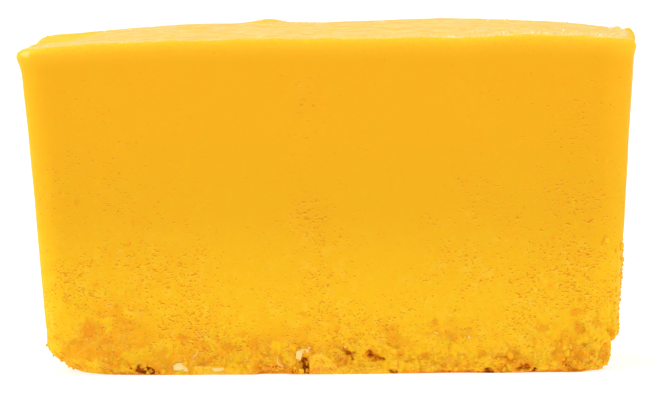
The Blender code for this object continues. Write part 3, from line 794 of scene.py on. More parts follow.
def side_relief(points, outward):
    """Displacement of the side surface along its outward direction, with the fields that colour it."""
    torn = torn_strength(points)
    lumps = lump_relief(points, LUMP_SIZE, LUMP_PLACE, LUMP_CROWN, LUMP_GAP, LUMP_GAP_WIDTH)
    flakes = smooth_step(fractal_noise(points, FLAKE_SIZE, 3, FLAKE_PLACE), *FLAKE_EDGE)
    grain = fractal_noise(points, GRAIN_SIZE, 3, GRAIN_PLACE)
    rough = torn * LUMP_HEIGHT * lumps - FLAKE_DEPTH * flakes + GRAIN_HEIGHT * grain
    crumbs = lump_relief(points, CRUMB_SIZE, CRUMB_PLACE, CRUMB_CROWN, CRUMB_GAP, CRUMB_GAP_WIDTH)
    chips = smooth_step(fractal_noise(points, CHIP_SIZE, 3, CHIP_PLACE), *CHIP_EDGE)
    rough += torn * CRUMB_HEIGHT * crumbs - CHIP_DEPTH * chips
    relief = WAVE_HEIGHT * fractal_noise(points, WAVE_SIZE, 2, WAVE_PLACE)
    relief += torn * rough * coarseness(points, outward)
    film = film_height(points, outward)
    cover = np.clip(film / FILM_COVERS_FROM, 0, 1)
    relief = relief * (1 - FILM_SMOOTHS * cover) + film
    raw = raw_field(points, outward, torn * (1 - cover))
    hollow = hollow_depth(points, outward)
    # Painted shade in the foot's gaps and hollows just over the base
    painted_foot_shade = patch_field(points, outward, FOOT_SHADE_PATCHES)
    relief -= (hollow * HOLLOW_OPEN + RAW_DEPTH * smooth_step(raw, *RAW_EDGE)) * (1 - cover)
    relief -= ledge_depth(points, outward)
    fields = {
        "torn": torn * (1 - cover),
        "raw": raw,
        # painted shade, darker the deeper a hollow is, and in the foot's painted shade patches
        "hollow": np.clip(np.maximum(hollow * (1 - cover) / HOLLOW_DARKEST, painted_foot_shade), 0, 1),
        "film": cover,
        # tone: painted light on the raised torn relief, painted shade in its sunken parts, lighter on the
        # painted light patches
        "tone": np.clip(0.5 + rough / TONE_DEPTH + patch_field(points, outward, PAINTED_LIGHT_PATCHES), 0, 1),
    }
    return relief, fields


def crest(x, y):
    """How far the top stands over the rim plane."""
    back = smooth_step(y, -TOP_DEPTH / 2, CREST_BACK)
    height = smooth_curve(FRONT_CREST, x) * (1 - back) + smooth_curve(BACK_CREST, x) * back
    height += x * tan(TOP_TILT)
    for centre_x, centre_y, radius, rise in TOP_FORMS:
        height += rise * np.exp(-((x - centre_x) ** 2 + (y - centre_y) ** 2) / radius**2)
    flat = np.stack((x, y, np.zeros_like(x)), axis=1)
    return height + TOP_WAVE * fractal_noise(flat, TOP_WAVE_SIZE, 3, TOP_PLACE)


def raise_top(points):
    """Moves the upper part of the block up or down to the crest, fading out down the sides."""
    x, y, z = points.T
    share = smooth_step(z, HEIGHT - CREST_FADE, HEIGHT)
    return np.stack((x, y, z + share * crest(x, y)), axis=1)


def block_surface(spacing):
    """Vertices, quads and colour fields of the whole block."""
    long_steps, short_steps, side, place = ring_layout(spacing)
    ring_size = len(side)
    rows, outward, rubbed = side_rows(side, place, spacing)
    row_count = len(rows)
    base_ring = rows[0]
    upward = outward[:, :, 2]
    low = smooth_step(np.arange(row_count), 0, FOOT_STILL_ROWS)[:, None]
    relief, fields = side_relief(rows.reshape(-1, 3), outward.reshape(-1, 3))
    fields["rubbed"] = rubbed.ravel()
    fields["level"] = rows[:, :, 2].ravel()
    relief = relief.reshape(row_count, ring_size)
    lips = lip_height(rows.reshape(-1, 3)).reshape(row_count, ring_size)
    level = np.sqrt(np.maximum(1 - upward**2, 0.01))
    rows = rows + outward * (relief * low * (1 - upward))[:, :, None]
    rows[:, :, :2] += outward[:, :, :2] * (lips / np.sqrt(level))[:, :, None]
    rows[:, :, 2] = np.maximum(rows[:, :, 2], 0.0)
    rows[0] = base_ring
    base = cap_inside(rows[0], long_steps, short_steps).reshape(-1, 3)
    top = cap_inside(rows[-1], long_steps, short_steps).reshape(-1, 3)
    points = np.concatenate((raise_top(rows.reshape(-1, 3)), base, raise_top(top)))
    index = np.arange(row_count * ring_size).reshape(row_count, ring_size)
    onward = np.roll(index, -1, axis=1)
    corners = (index[:-1], onward[:-1], onward[1:], index[1:])
    sides = np.stack([c.ravel() for c in corners], axis=1)
    base_start = row_count * ring_size
    base_faces = cap_faces(0, base_start, long_steps, short_steps, ring_size)[:, ::-1]
    top_faces = cap_faces(base_start - ring_size, base_start + len(base), long_steps, short_steps, ring_size)
    fields = {name: np.concatenate((field, np.zeros(len(base) + len(top)))) for name, field in fields.items()}
    fields["level"][-len(top) :] = HEIGHT
    return points, np.concatenate((sides, base_faces, top_faces)), fields


def thinned(mesh, triangles):
    """The mesh reduced to about the given number of triangles, with its base kept flat."""
    scratch = bpy.data.objects.new("dense_block", mesh)
    bpy.context.scene.collection.objects.link(scratch)
    reduce = scratch.modifiers.new("Reduce", "DECIMATE")
    reduce.ratio = triangles / (2 * len(mesh.polygons))
    graph = bpy.context.evaluated_depsgraph_get()
    result = bpy.data.meshes.new_from_object(scratch.evaluated_get(graph))
    bpy.data.objects.remove(scratch)
    bpy.data.meshes.remove(mesh)
    for vertex in result.vertices:
        if vertex.co.z < BASE_SNAP:
            vertex.co.z = 0.0
    return result


def new_piece(name, mesh, material):
    """A linked object that rides on the block's body and takes its finish from a slot."""
    mesh.name = name
    mesh.materials.clear()
    mesh.materials.append(material)
    piece = bpy.data.objects.new(name, mesh)
    bpy.context.scene.collection.objects.link(piece)
    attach(piece, "root")
    return piece


class Shader:
    """A material's node tree with short ways to add the nodes used here."""

    def __init__(self, name):
        self.material = bpy.data.materials.new(name)
        self.material.use_nodes = True
        self.tree = self.material.node_tree
        self.place = self.node("ShaderNodeTexCoord").outputs["Object"]

    def feed(self, node, inputs):
        """Links or sets a node's inputs, by name or number."""
        for key, value in inputs.items():
            if isinstance(value, bpy.types.NodeSocket):
                self.tree.links.new(value, node.inputs[key])
            else:
                node.inputs[key].default_value = value

    def node(self, kind, inputs=None, **settings):
        made = self.tree.nodes.new(kind)
        for key, value in settings.items():
            setattr(made, key, value)
        self.feed(made, inputs or {})
        return made

    def field(self, name):
        return self.node("ShaderNodeAttribute", attribute_name=name).outputs["Fac"]

    def math(self, operation, first, second=0.0):
        return self.node("ShaderNodeMath", {0: first, 1: second}, operation=operation).outputs[0]

    def add(self, first, second):
        return self.math("ADD", first, second)

    def less(self, first, second):
        return self.math("SUBTRACT", first, second)

    def larger(self, first, second):
        return self.math("MAXIMUM", first, second)

    def product(self, *values):
        result = values[0]
        for value in values[1:]:
            result = self.math("MULTIPLY", result, value)
        return result

    def ramp(self, value, low, high, out_low=0.0, out_high=1.0, kind="SMOOTHSTEP"):
        inputs = {"Value": value, "From Min": low, "From Max": high, "To Min": out_low, "To Max": out_high}
        return self.node("ShaderNodeMapRange", inputs, interpolation_type=kind).outputs["Result"]

    def fade(self, value, low, high):
        """1 below low and 0 above high."""
        return self.ramp(value, low, high, 1.0, 0.0)

    def blend(self, share, first, second):
        inputs = {"Factor": share, "A": first, "B": second}
        return self.node("ShaderNodeMix", inputs, data_type="RGBA").outputs["Result"]

    def moved(self, shift=(0, 0, 0), stretch=(1, 1, 1)):
        """The place on the object, shifted and then squeezed along each axis."""
        inputs = {0: self.place, 1: stretch, 2: [s * f for s, f in zip(shift, stretch)]}
        return self.node("ShaderNodeVectorMath", inputs, operation="MULTIPLY_ADD").outputs["Vector"]

    def noise(self, size, detail=3, roughness=0.6, place=None):
        inputs = {"Vector": place or self.place, "Scale": 1 / size, "Detail": detail, "Roughness": roughness}
        return self.node("ShaderNodeTexNoise", inputs).outputs["Fac"]

    def varied(self, size, low, high, detail=2):
        """A value that wanders evenly between low and high."""
        return self.ramp(self.noise(size, detail, 0.5), 0.3, 0.7, low, high)

    def blots(self, kind, share, place=None):
        """Irregular blots of noise: where share is 0 only peaks over thin, where it is 1 all over thick."""
        size, detail, thin, thick, edge = kind
        level = self.ramp(share, 0.0, 1.0, thin, thick, "LINEAR")
        return self.ramp(self.less(self.noise(size, detail, place=place), level), 0.0, edge)

    def spot(self, centre, half_sizes):
        """1 at a centre, falling to 0 at an oval round it."""
        place = self.moved([-c for c in centre], [1.0 / size for size in half_sizes])
        return self.node("ShaderNodeTexGradient", {"Vector": place}, gradient_type="SPHERICAL").outputs["Fac"]

    def coordinate(self, axis):
        return self.node("ShaderNodeSeparateXYZ", {"Vector": self.place}).outputs[axis]

    def bump(self, value, distance, strength):
        inputs = {"Distance": distance, "Strength": strength, "Height": value}
        return self.node("ShaderNodeBump", inputs).outputs["Normal"]

    def finish(self, inputs):
        """The material, with the surface's inputs linked or set."""
        self.feed(self.tree.nodes["Principled BSDF"], inputs)
        return self.material


def worn_share(shader, height):
    """How much of the skin is pitted: thin high up, thick near the foot, and in upright streaks."""
    worn = shader.ramp(height, *WORN_HEIGHTS, *WORN_SHARES, "LINEAR")
    along = shader.coordinate("X")
    for centre, half_width, low, high, strength in PIT_STREAKS:
        off = shader.math("ABSOLUTE", shader.less(along, centre * MM))
        near = shader.ramp(off, 0.0, half_width * STREAK_FADE * MM, strength, 0.0)
        lower = shader.ramp(height, (low - STREAK_START) * MM, low * MM)
        upper = shader.fade(height, high * MM, (high + STREAK_END) * MM)
        worn = shader.add(worn, shader.product(near, lower, upper))
    patches = shader.ramp(shader.noise(WORN_PATCH_SIZE, 3, 0.5), 0.36, 0.62, *WORN_PATCHES)
    worn = shader.product(worn, patches, shader.fade(height, *WORN_END))
    return shader.larger(shader.math("MINIMUM", worn, 1.0), 0.0)


def top_sheen_share(shader):
    """1 where the top gets its painted sheen, 0 where it goes without: the back left corner and the hump."""
    along = shader.add(shader.coordinate("X"), UNSHEENED_CORNER_START)
    off = shader.less(shader.coordinate("Y"), shader.product(along, UNSHEENED_CORNER_SLOPE))
    corner = shader.ramp(off, *UNSHEENED_CORNER_EDGE)
    hump = shader.ramp(shader.spot((*TOP_HUMP[:2], HEIGHT), UNSHEENED_HUMP), 0.2, 0.6)
    return shader.less(1.0, shader.larger(corner, hump))


def colour_shares(shader, height, torn, film, tone, top, ragged):
    """Where each of the skin's layers of colour lies, by the layer's name, and the sunken pits and chips."""
    ragged_tone = shader.add(tone, shader.product(ragged, 0.5))
    worn = worn_share(shader, height)
    mottle = shader.noise(1.3 * MM, 4, 0.65, shader.moved(MOTTLE_SHIFT))
    low = shader.product(worn, shader.ramp(height, *PATCH_HEIGHTS, 1.0, 0.25))
    patches = shader.noise(2.8 * MM, place=shader.moved(PATCH_SHIFT))
    sunk = shader.larger(
        shader.blots(PITS, worn),
        shader.blots(DASHES, worn, shader.moved((0, 0, 0), DASH_STRETCH)),
    )
    # Pits and chips just above each point, for the painted shade and highlights round them
    sunk_above = shader.larger(
        shader.blots(PITS, worn, shader.moved(ABOVE_PIT)),
        shader.blots(DASHES, worn, shader.moved(ABOVE_PIT, DASH_STRETCH)),
    )
    sunk_above = shader.larger(sunk_above, shader.blots(CHIPS, torn, shader.moved(ABOVE_CHIP)))
    chip = shader.blots(CHIPS, torn)
    whole = shader.less(1.0, shader.larger(sunk, chip))
    flecked = shader.less(shader.noise(0.6 * MM), 0.5)
    # Painted shade in the torn hollows, darker the deeper they are, broken into flecks
    hollow = shader.field("hollow")
    pocket = shader.add(hollow, shader.product(flecked, 3.0))
    # Painted highlight on the front left lip, with a ragged edge
    painted_lip_highlight = shader.add(shader.spot(LIP_HIGHLIGHT, LIP_HIGHLIGHT_SIZE), ragged)
    shares = {
        "upper_face": shader.ramp(height, *UPPER_FACE_HEIGHTS),
        "lower_face": shader.fade(height, *LOWER_FACE_HEIGHTS),
        # lighter, paler rim and top: partly their own colour, partly painted light
        "rim": shader.ramp(height, *RIM_HEIGHTS),
        # pale peach patches on the top: partly frost, partly a painted reflection of the light on it
        "frost_and_sheen": shader.product(top, shader.ramp(shader.noise(5 * MM, 5, 0.7), 0.42, 0.58)),
        # painted light on the raised torn relief, painted shade in the gaps between its lumps
        "lumps": shader.product(shader.ramp(ragged_tone, 0.5, 0.66), torn),
        "gaps": shader.product(shader.fade(ragged_tone, 0.26, 0.44), torn),
        "raw": shader.ramp(shader.add(shader.field("raw"), shader.product(ragged, 2.4)), 0.6, 0.75),
        # random lighter mottling, left off the sunken relief so that it keeps its painted shade
        "bright": shader.product(shader.ramp(mottle, 0.5, 0.66), worn, shader.ramp(tone, 0.36, 0.5)),
        "dull": shader.product(shader.fade(mottle, 0.36, 0.5), worn),
        "tan_patches": shader.product(shader.ramp(patches, 0.52, 0.64), low),
        "light_patches": shader.product(shader.fade(patches, 0.36, 0.48), low),
        "chips": chip,
        "pits": sunk,
        # painted shade on each pit's upper wall, and a painted highlight on the lower lip under each pit and
        # chip
        "brows": shader.product(sunk, shader.less(1.0, sunk_above)),
        "lips": shader.product(sunk_above, whole, shader.less(1.0, film)),
        "flecks": shader.blots(FLECKS, torn, shader.moved(FLECK_SHIFT)),
        "spots": shader.blots(SPOTS, worn, shader.moved(SPOT_SHIFT)),
        # painted shade in the torn hollows, deepest in the darkest colour
        "dents": shader.ramp(shader.add(hollow, shader.product(ragged, 0.35)), 0.04, 0.3),
        "pockets": shader.ramp(pocket, 0.25, 0.6),
        "hollows": shader.ramp(pocket, 0.6, 0.85),
        # painted shade on the foot's underside, with a ragged edge
        "rubbed": shader.ramp(shader.add(shader.field("rubbed"), shader.product(ragged, 0.8)), 0.45, 0.8),
        # painted highlight on the front left lip
        "lip_highlight": shader.ramp(painted_lip_highlight, 0.2, 0.6),
    }
    return shares


def skin_material(colours):
    """The sorbet's skin: whole and satin above, pitted and torn below, wet on the rim and the top."""
    shader = Shader("sorbet_skin")
    height, torn, film, tone = (shader.field(name) for name in ("level", "torn", "film", "tone"))
    # the top, without the places that go without its painted sheen
    top = shader.product(shader.ramp(height, *TOP_HEIGHTS), top_sheen_share(shader))
    ragged = shader.less(shader.noise(1.1 * MM, 5, 0.7), 0.5)
    shares = colour_shares(shader, height, torn, film, tone, top, ragged)
    colour = colours.face
    for name, (layer_colour, strength) in LAYERS.items():
        colour = shader.blend(shader.product(shares[name], strength), colour, getattr(colours, layer_colour))
    rough = shader.add(shader.less(SKIN_ROUGHNESS, shader.product(top, 0.12)), shader.product(torn, 0.06))
    rough = shader.less(rough, shader.product(film, 0.15))
    fine = shader.product(shader.noise(0.5 * MM), shader.ramp(torn, 0.0, 1.0, 0.1, 0.5, "LINEAR"))
    grain = shader.add(fine, shader.product(shader.noise(1.4 * MM), top, 0.9))
    streaks = shader.product(shader.noise(1.1 * MM, place=shader.moved((0, 0, 0), FILM_STRETCH)), film)
    dug = shader.add(shader.product(shares["pits"], 0.1), shader.product(shares["chips"], 0.4))
    relief = shader.less(shader.add(grain, shader.product(streaks, 0.8)), dug)
    relief = shader.less(relief, shader.product(shares["raw"], 0.3))
    return shader.finish(
        {
            "Base Color": colour,
            "Roughness": shader.add(rough, shader.varied(4 * MM, -0.05, 0.05, 3)),
            "Specular IOR Level": 0.03,
            "IOR": 1.36,
            "Subsurface Weight": 0.6,
            "Subsurface Radius": SORBET_SCATTER,
            "Subsurface Scale": 0.0015,
            "Normal": shader.bump(relief, 0.3 * MM, 0.85),
            "Coat Weight": shader.larger(shader.product(top, 0.14), shader.product(film, 0.3)),
            "Coat Roughness": 0.14,
        }
    )


def crumb_material(colours):
    """Loose crumbs of the same sorbet, a little rougher."""
    shader = Shader("sorbet_crumb")
    tone = shader.product(shader.ramp(shader.noise(2 * MM), 0.35, 0.65), 0.55)
    shade = shader.product(shader.ramp(shader.noise(1.1 * MM), 0.5, 0.7), 0.5)
    colour = shader.blend(tone, colours.crumb, colours.shade)
    return shader.finish(
        {
            "Base Color": shader.blend(shade, colour, colours.shade),
            "Roughness": shader.varied(1 * MM, 0.4, 0.56),
            "Specular IOR Level": 0.05,
            "Subsurface Weight": 0.6,
            "Subsurface Radius": SORBET_SCATTER,
            "Subsurface Scale": 0.001,
            "Normal": shader.bump(shader.noise(0.5 * MM), 0.1 * MM, 0.6),
        }
    )


def ice_material(colours):
    """White frost crystals that catch the light."""
    shader = Shader("rim_ice")
    tone = shader.ramp(shader.noise(1 * MM, 2, 0.5), 0.35, 0.65)
    return shader.finish(
        {
            "Base Color": shader.blend(tone, colours.ice, colours.frost_and_sheen),
            "Roughness": shader.varied(0.6 * MM, 0.15, 0.3),
            "IOR": 1.31,
            "Subsurface Weight": 0.3,
            "Subsurface Scale": 0.0004,
        }
    )


def flake_material(colours):
    """Pale, dry flakes of frozen juice and fruit."""
    shader = Shader("pale_flake")
    mottle = shader.less(shader.noise(0.8 * MM), 0.5)
    tint = shader.ramp(shader.add(shader.field("tint"), shader.product(mottle, 0.9)), 0.0, 1.0)
    return shader.finish(
        {
            "Base Color": shader.blend(tint, colours.crumb, colours.flake),
            "Roughness": shader.varied(0.8 * MM, 0.35, 0.55),
            "Specular IOR Level": 0.3,
            "Subsurface Weight": 0.25,
            "Subsurface Scale": 0.0006,
            "Normal": shader.bump(shader.noise(0.6 * MM), 0.15 * MM, 0.7),
        }
    )


def fibre_material(colours):
    """Pale, silky mango fibre."""
    shader = Shader("mango_fibre")
    return shader.finish(
        {
            "Base Color": shader.blend(shader.varied(0.8 * MM, 0.0, 1.0), colours.fibre, colours.flake),
            "Roughness": shader.varied(0.4 * MM, 0.35, 0.5),
            "Subsurface Weight": 0.2,
            "Subsurface Scale": 0.0005,
        }
    )


def floor_material(colour):
    """Plain pale floor with the faintest mottling."""
    shader = Shader("pale_floor")
    darker = [c * 0.99 for c in colour[:3]] + [1.0]
    return shader.finish(
        {
            "Base Color": shader.blend(shader.varied(0.4, 0.0, 1.0), colour, darker),
            "Roughness": 0.8,
            "Specular IOR Level": 0.1,
            "Emission Color": WHITE,
            "Emission Strength": FLOOR_GLOW,
        }
    )


def lump_template(subdivisions):
    """Vertices and triangles of a unit ball to be made into lumps."""
    bm = bmesh.new()
    bmesh.ops.create_icosphere(bm, subdivisions=subdivisions, radius=1.0)
    verts = np.array([v.co[:] for v in bm.verts])
    faces = np.array([[v.index for v in f.verts] for f in bm.faces])
    bm.free()
    return verts, faces


def joined_copies(name, template, places):
    """One mesh of a template's copies, each with its own 3 by 3 shape, roughening and place."""
    verts, faces = template
    all_verts = []
    all_faces = []
    for n, (shape, rough, centre) in enumerate(places):
        swell = 1.0 + rough * np.array([noise.noise(Vector(v * 1.3 + n * 3.1)) for v in verts])
        all_verts.append((verts * swell[:, None]) @ shape.T + centre)
        all_faces.append(faces + n * len(verts))
    mesh = bpy.data.meshes.new(name)
    mesh.from_pydata(np.concatenate(all_verts).tolist(), [], np.concatenate(all_faces).tolist())
    return mesh


def random_shape(draw, half_sizes):
    """A stretch by three half sizes in a random direction."""
    turn = Matrix.Rotation(draw.uniform(0, 2 * pi), 3, Vector(draw.normal(size=3)).normalized())
    return np.array(turn) @ np.diag(half_sizes)


def surface_samples():
    """Centre, normal and area of every triangle of the dressed block."""
    polygons = bpy.data.objects["sorbet_skin"].data.polygons
    centres = np.empty(len(polygons) * 3)
    normals = np.empty(len(polygons) * 3)
    areas = np.empty(len(polygons))
    polygons.foreach_get("center", centres)
    polygons.foreach_get("normal", normals)
    polygons.foreach_get("area", areas)
    return centres.reshape(-1, 3), normals.reshape(-1, 3), areas


def drawn_places(draw, count, weight):
    """The numbers of some triangles drawn at random, each as likely as its weight."""
    return draw.choice(len(weight), count, replace=False, p=weight / weight.sum())


def shape_on_skin(normal, turn, half_sizes):
    """A stretch by three half sizes that lies against skin facing along normal, turned about it."""
    across = Vector((0, 0, 1)).cross(normal).normalized()
    up = normal.cross(across)
    axes = (across * cos(turn) + up * sin(turn), up * cos(turn) - across * sin(turn), normal)
    return np.array(Matrix(axes).transposed()) @ np.diag(half_sizes)


def skin_tree():
    """A search tree over the dressed block's triangles."""
    mesh = bpy.data.objects["sorbet_skin"].data
    return BVHTree.FromPolygons([v.co for v in mesh.vertices], [p.vertices[:] for p in mesh.polygons])


def on_front(tree, x, z):
    """The point of the front at a place and a height in millimetres, and the direction it faces."""
    return tree.ray_cast(Vector((x * MM, -TOP_DEPTH, z * MM)), Vector((0, 1, 0)))[:2]


def fibre_tube(path, radius):
    """Vertices and quads of a thin, tapered tube along a path of points and the directions they face."""
    verts = []
    for i, (place, normal) in enumerate(path):
        onward = (path[min(i + 1, len(path) - 1)][0] - path[max(i - 1, 0)][0]).normalized()
        across = onward.cross(normal).normalized()
        thickness = radius * sin(pi * (i + 0.35) / (len(path) - 0.3)) ** 0.5
        for k in range(FIBRE_SIDES):
            angle = 2 * pi * k / FIBRE_SIDES
            spoke = across * cos(angle) + normal * sin(angle)
            verts.append(place + normal * radius * 0.6 + spoke * thickness)
    faces = []
    for start in range(0, len(verts) - FIBRE_SIDES, FIBRE_SIDES):
        for k in range(FIBRE_SIDES):
            low = start + k
            next_low = start + (k + 1) % FIBRE_SIDES
            faces.append((low, next_low, next_low + FIBRE_SIDES, low + FIBRE_SIDES))
    return verts, faces


def colour_setting(name, description, value):
    """A colour setting with its default."""
    return bpy.props.FloatVectorProperty(
        name=name, description=description, subtype="COLOR", size=4, min=0, max=1, default=(*value, 1.0)
    )


def number_setting(name, description, value, **kind):
    """A setting for a length, an angle or a strength, with its default."""
    return bpy.props.FloatProperty(name=name, description=description, default=value, **kind)


class SorbetColours(bpy.types.PropertyGroup):
    """Linear colours of the sorbet, and of the light and shade painted on it."""

    face: colour_setting("Face", "Whole skin at half height", (0.845, 0.452, 0.013))
    high_face: colour_setting("High face", "Whole skin below the rim", (0.885, 0.442, 0.013))
    low_face: colour_setting("Low face", "Whole skin low on the sides", (0.91, 0.54, 0.014))
    # Partly the rim's and top's own colour, partly painted light, lighter and paler where the rounded rim
    # turns up to the light
    rim: colour_setting("Rim", "Melted rim and top", (0.98, 0.53, 0.026))
    # Frost tint of the ice crystals, and the pale peach on the top, partly frost and partly a painted
    # reflection
    frost_and_sheen: colour_setting("Frost", "Frosted patches on the top", (1.0, 0.74, 0.34))
    # Laid on the raised lumps as painted light, and the loose crumbs' own colour and random lighter mottling
    crumb: colour_setting("Crumb", "Raised lumps of the torn foot", (0.97, 0.545, 0.017))
    shade: colour_setting("Shade", "Sunken parts of the torn foot", (0.97, 0.345, 0.016))
    raw: colour_setting("Raw", "Orange inside where skin came away", (0.99, 0.31, 0.017))
    # Painted shade on the lower edge of the foot where it turns under
    under: colour_setting("Under", "Rubbed lower edge of the foot", (0.72, 0.20, 0.010))
    pit: colour_setting("Pit", "Shade in the small pits", (0.70, 0.19, 0.004))
    # Painted highlight on the lower lips of pits and chips, and the colour of random lighter patches
    lip: colour_setting("Lip", "Pale lower lips of pits and chips", (1.0, 0.68, 0.09))
    fleck: colour_setting("Fleck", "Pale flecks in the torn foot", (1.0, 0.74, 0.20))
    # Painted shade deep in the torn hollows and at the foot
    hollow: colour_setting("Hollow", "Depth of the torn hollows", (0.42, 0.06, 0.006))
    ice: colour_setting("Ice", "Frost crystals", (1.0, 0.94, 0.76))
    flake: colour_setting("Flake", "Pale flakes of frozen juice", (1.0, 0.74, 0.30))
    fibre: colour_setting("Fibre", "Mango fibres", (1.0, 0.93, 0.76))
    floor: colour_setting("Floor", "Plain floor", (0.4, 0.4, 0.4))


class SorbetStage(bpy.types.PropertyGroup):
    """Camera and light."""

    distance: number_setting("Distance", "From the camera to the block's front", 2.5, unit="LENGTH", min=0.5)
    azimuth: number_setting("Azimuth", "Turn of the camera towards the right", radians(1.66), subtype="ANGLE")
    elevation: number_setting("Elevation", "Height angle of the camera", radians(2.9), subtype="ANGLE")
    roll: number_setting("Roll", "Tilt of the picture", radians(-0.5), subtype="ANGLE")
    view_width: number_setting("View width", "Picture's width at the front", 0.1647, unit="LENGTH", min=0.01)
    world: number_setting("World", "Strength of the even white light", 0.5, min=0)
    above: number_setting("Above", "Strength of the light from above", 1.5, min=0)
    front: number_setting("Front", "Strength of the light from the front", 0.12, min=0)
    left: number_setting("Left", "Strength of the light from the left", 1.2, min=0)
    right: number_setting("Right", "Strength of the light from the right", 0.7, min=0)
    glint: number_setting("Glint", "Strength of the small sharp light", 0.3, min=0)


class SORBET_OT_add_block(bpy.types.Operator):
    """Builds the dressed block in place of the plain solid"""

    bl_idname = "sorbet.add_block"
    bl_label = "Sorbet block"

    def execute(self, context):
        points, faces, fields = block_surface(SPACING)
        dense = bpy.data.meshes.new("dense_block")
        dense.from_pydata(points.tolist(), [], faces.tolist())
        for name, field in fields.items():
            dense.attributes.new(name, "FLOAT", "POINT").data.foreach_set("value", field)
        mesh = thinned(dense, TRIANGLES)
        mesh.shade_smooth()
        block = new_piece("sorbet_skin", mesh, skin_material(context.scene.sorbet_colours))
        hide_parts("sorbet_block")
        return {"FINISHED"}


class SORBET_OT_add_crumbs(bpy.types.Operator):
    """Sticks crumbs to the torn foot all round the block"""

    bl_idname = "sorbet.add_crumbs"
    bl_label = "Crumbs"

    def execute(self, context):
        draw = np.random.default_rng(CRUMB_SEED)
        centres, normals, areas = surface_samples()
        x, y, z = centres.T
        upright = np.abs(normals[:, 2]) < 0.9
        low = np.exp(-z / CRUMB_FADE) * (z > CRUMB_LOWEST) * (z < CRUMB_HIGHEST)
        right_edge = 0.6 * np.exp(-(((z - 20 * MM) / (9 * MM)) ** 2)) * (x > 66 * MM)
        places = []
        for number in drawn_places(draw, CRUMB_COUNT, areas * upright * (low + right_edge)):
            size = CRUMB_HALF_SIZE * draw.lognormal(0.35, 0.42)
            half_sizes = size * draw.uniform(0.7, 1.3, 3)
            centre = centres[number] + normals[number] * size * 0.1
            centre[2] = max(centre[2], half_sizes.max() * 1.05)
            places.append((random_shape(draw, half_sizes), CRUMB_ROUGHNESS, centre))
        mesh = joined_copies("foot_crumbs", lump_template(2), places)
        mesh.shade_smooth()
        new_piece("foot_crumbs", mesh, crumb_material(context.scene.sorbet_colours))
        return {"FINISHED"}


class SORBET_OT_add_flakes(bpy.types.Operator):
    """Lays pale flakes of frozen juice on the foot"""

    bl_idname = "sorbet.add_flakes"
    bl_label = "Pale flakes"

    def execute(self, context):
        draw = np.random.default_rng(FLAKE_SEED)
        tree = skin_tree()
        places = []
        tints = [flake[5] for flake in FRONT_FLAKES]
        for x, z, half_width, half_height, turn, _ in FRONT_FLAKES:
            place, normal = on_front(tree, x, z)
            facing = (normal + Vector((0, -2, 0.2))).normalized()
            half_sizes = (half_width * MM, half_height * MM, FLAKE_THICKNESS)
            shape = shape_on_skin(facing, radians(turn), half_sizes)
            places.append((shape, FLAKE_ROUGHNESS, np.array(place + facing * FLAKE_THICKNESS)))
        centres, normals, areas = surface_samples()
        low = np.exp(-centres[:, 2] / FLAKE_FADE) * (centres[:, 2] > FLAKE_LOWEST)
        weight = areas * (np.abs(normals[:, 2]) < 0.6) * low
        for number in drawn_places(draw, FLAKES_ELSEWHERE, weight):
            size = FLAKE_HALF_SIZE * draw.lognormal(0.0, 0.35)
            half_sizes = (size * draw.uniform(0.8, 1.8), size * draw.uniform(0.5, 1.0), FLAKE_THICKNESS * 0.6)
            shape = shape_on_skin(Vector(normals[number]), draw.uniform(-0.6, 0.6), half_sizes)
            places.append((shape, FLAKE_ROUGHNESS, centres[number] + normals[number] * FLAKE_THICKNESS * 0.4))
            tints.append(draw.uniform(*FLAKE_TINTS))
        template = lump_template(3)
        mesh = joined_copies("pale_flakes", template, places)
        tint = np.repeat(tints, len(template[0]))
        mesh.attributes.new("tint", "FLOAT", "POINT").data.foreach_set("value", tint)
        mesh.shade_smooth()
        new_piece("pale_flakes", mesh, flake_material(context.scene.sorbet_colours))
        return {"FINISHED"}


class SORBET_OT_add_fibres(bpy.types.Operator):
    """Lays short mango fibres on the sides"""

    bl_idname = "sorbet.add_fibres"
    bl_label = "Mango fibres"

    def execute(self, context):
        draw = np.random.default_rng(FIBRE_SEED)
        tree = skin_tree()
        steps = [t / FIBRE_STEPS for t in range(FIBRE_STEPS + 1)]
        paths = []
        for start, end, bow in FRONT_FIBRES:
            across = Vector((end[1] - start[1], start[0] - end[0]))
            line = [Vector(start).lerp(Vector(end), t) + across * bow * sin(pi * t) for t in steps]
            paths.append([on_front(tree, point.x, point.y) for point in line])
        centres, normals, areas = surface_samples()
        low = np.exp(-centres[:, 2] / FIBRE_FADE) * (centres[:, 2] > FIBRE_LOWEST)
        weight = areas * (np.abs(normals[:, 2]) < 0.6) * low * (normals[:, 1] > -0.5)
        for number in drawn_places(draw, FIBRES_ELSEWHERE, weight):
            length = draw.uniform(*FIBRE_LENGTHS) * MM
            shape = shape_on_skin(Vector(normals[number]), draw.uniform(0, pi), (1, 1, 1))
            bow = draw.uniform(-0.3, 0.3)
            offs = [shape @ np.array((length * (t - 0.5), length * bow * sin(pi * t), 0)) for t in steps]
            paths.append([tree.find_nearest(Vector(centres[number] + off))[:2] for off in offs])
        verts = []
        faces = []
        for path in paths:
            tube_verts, tube_faces = fibre_tube(path, FIBRE_RADIUS)
            faces += [[index + len(verts) for index in face] for face in tube_faces]
            verts += tube_verts
        mesh = bpy.data.meshes.new("mango_fibres")
        mesh.from_pydata(verts, [], faces)
        mesh.shade_smooth()
        new_piece("mango_fibres", mesh, fibre_material(context.scene.sorbet_colours))
        return {"FINISHED"}


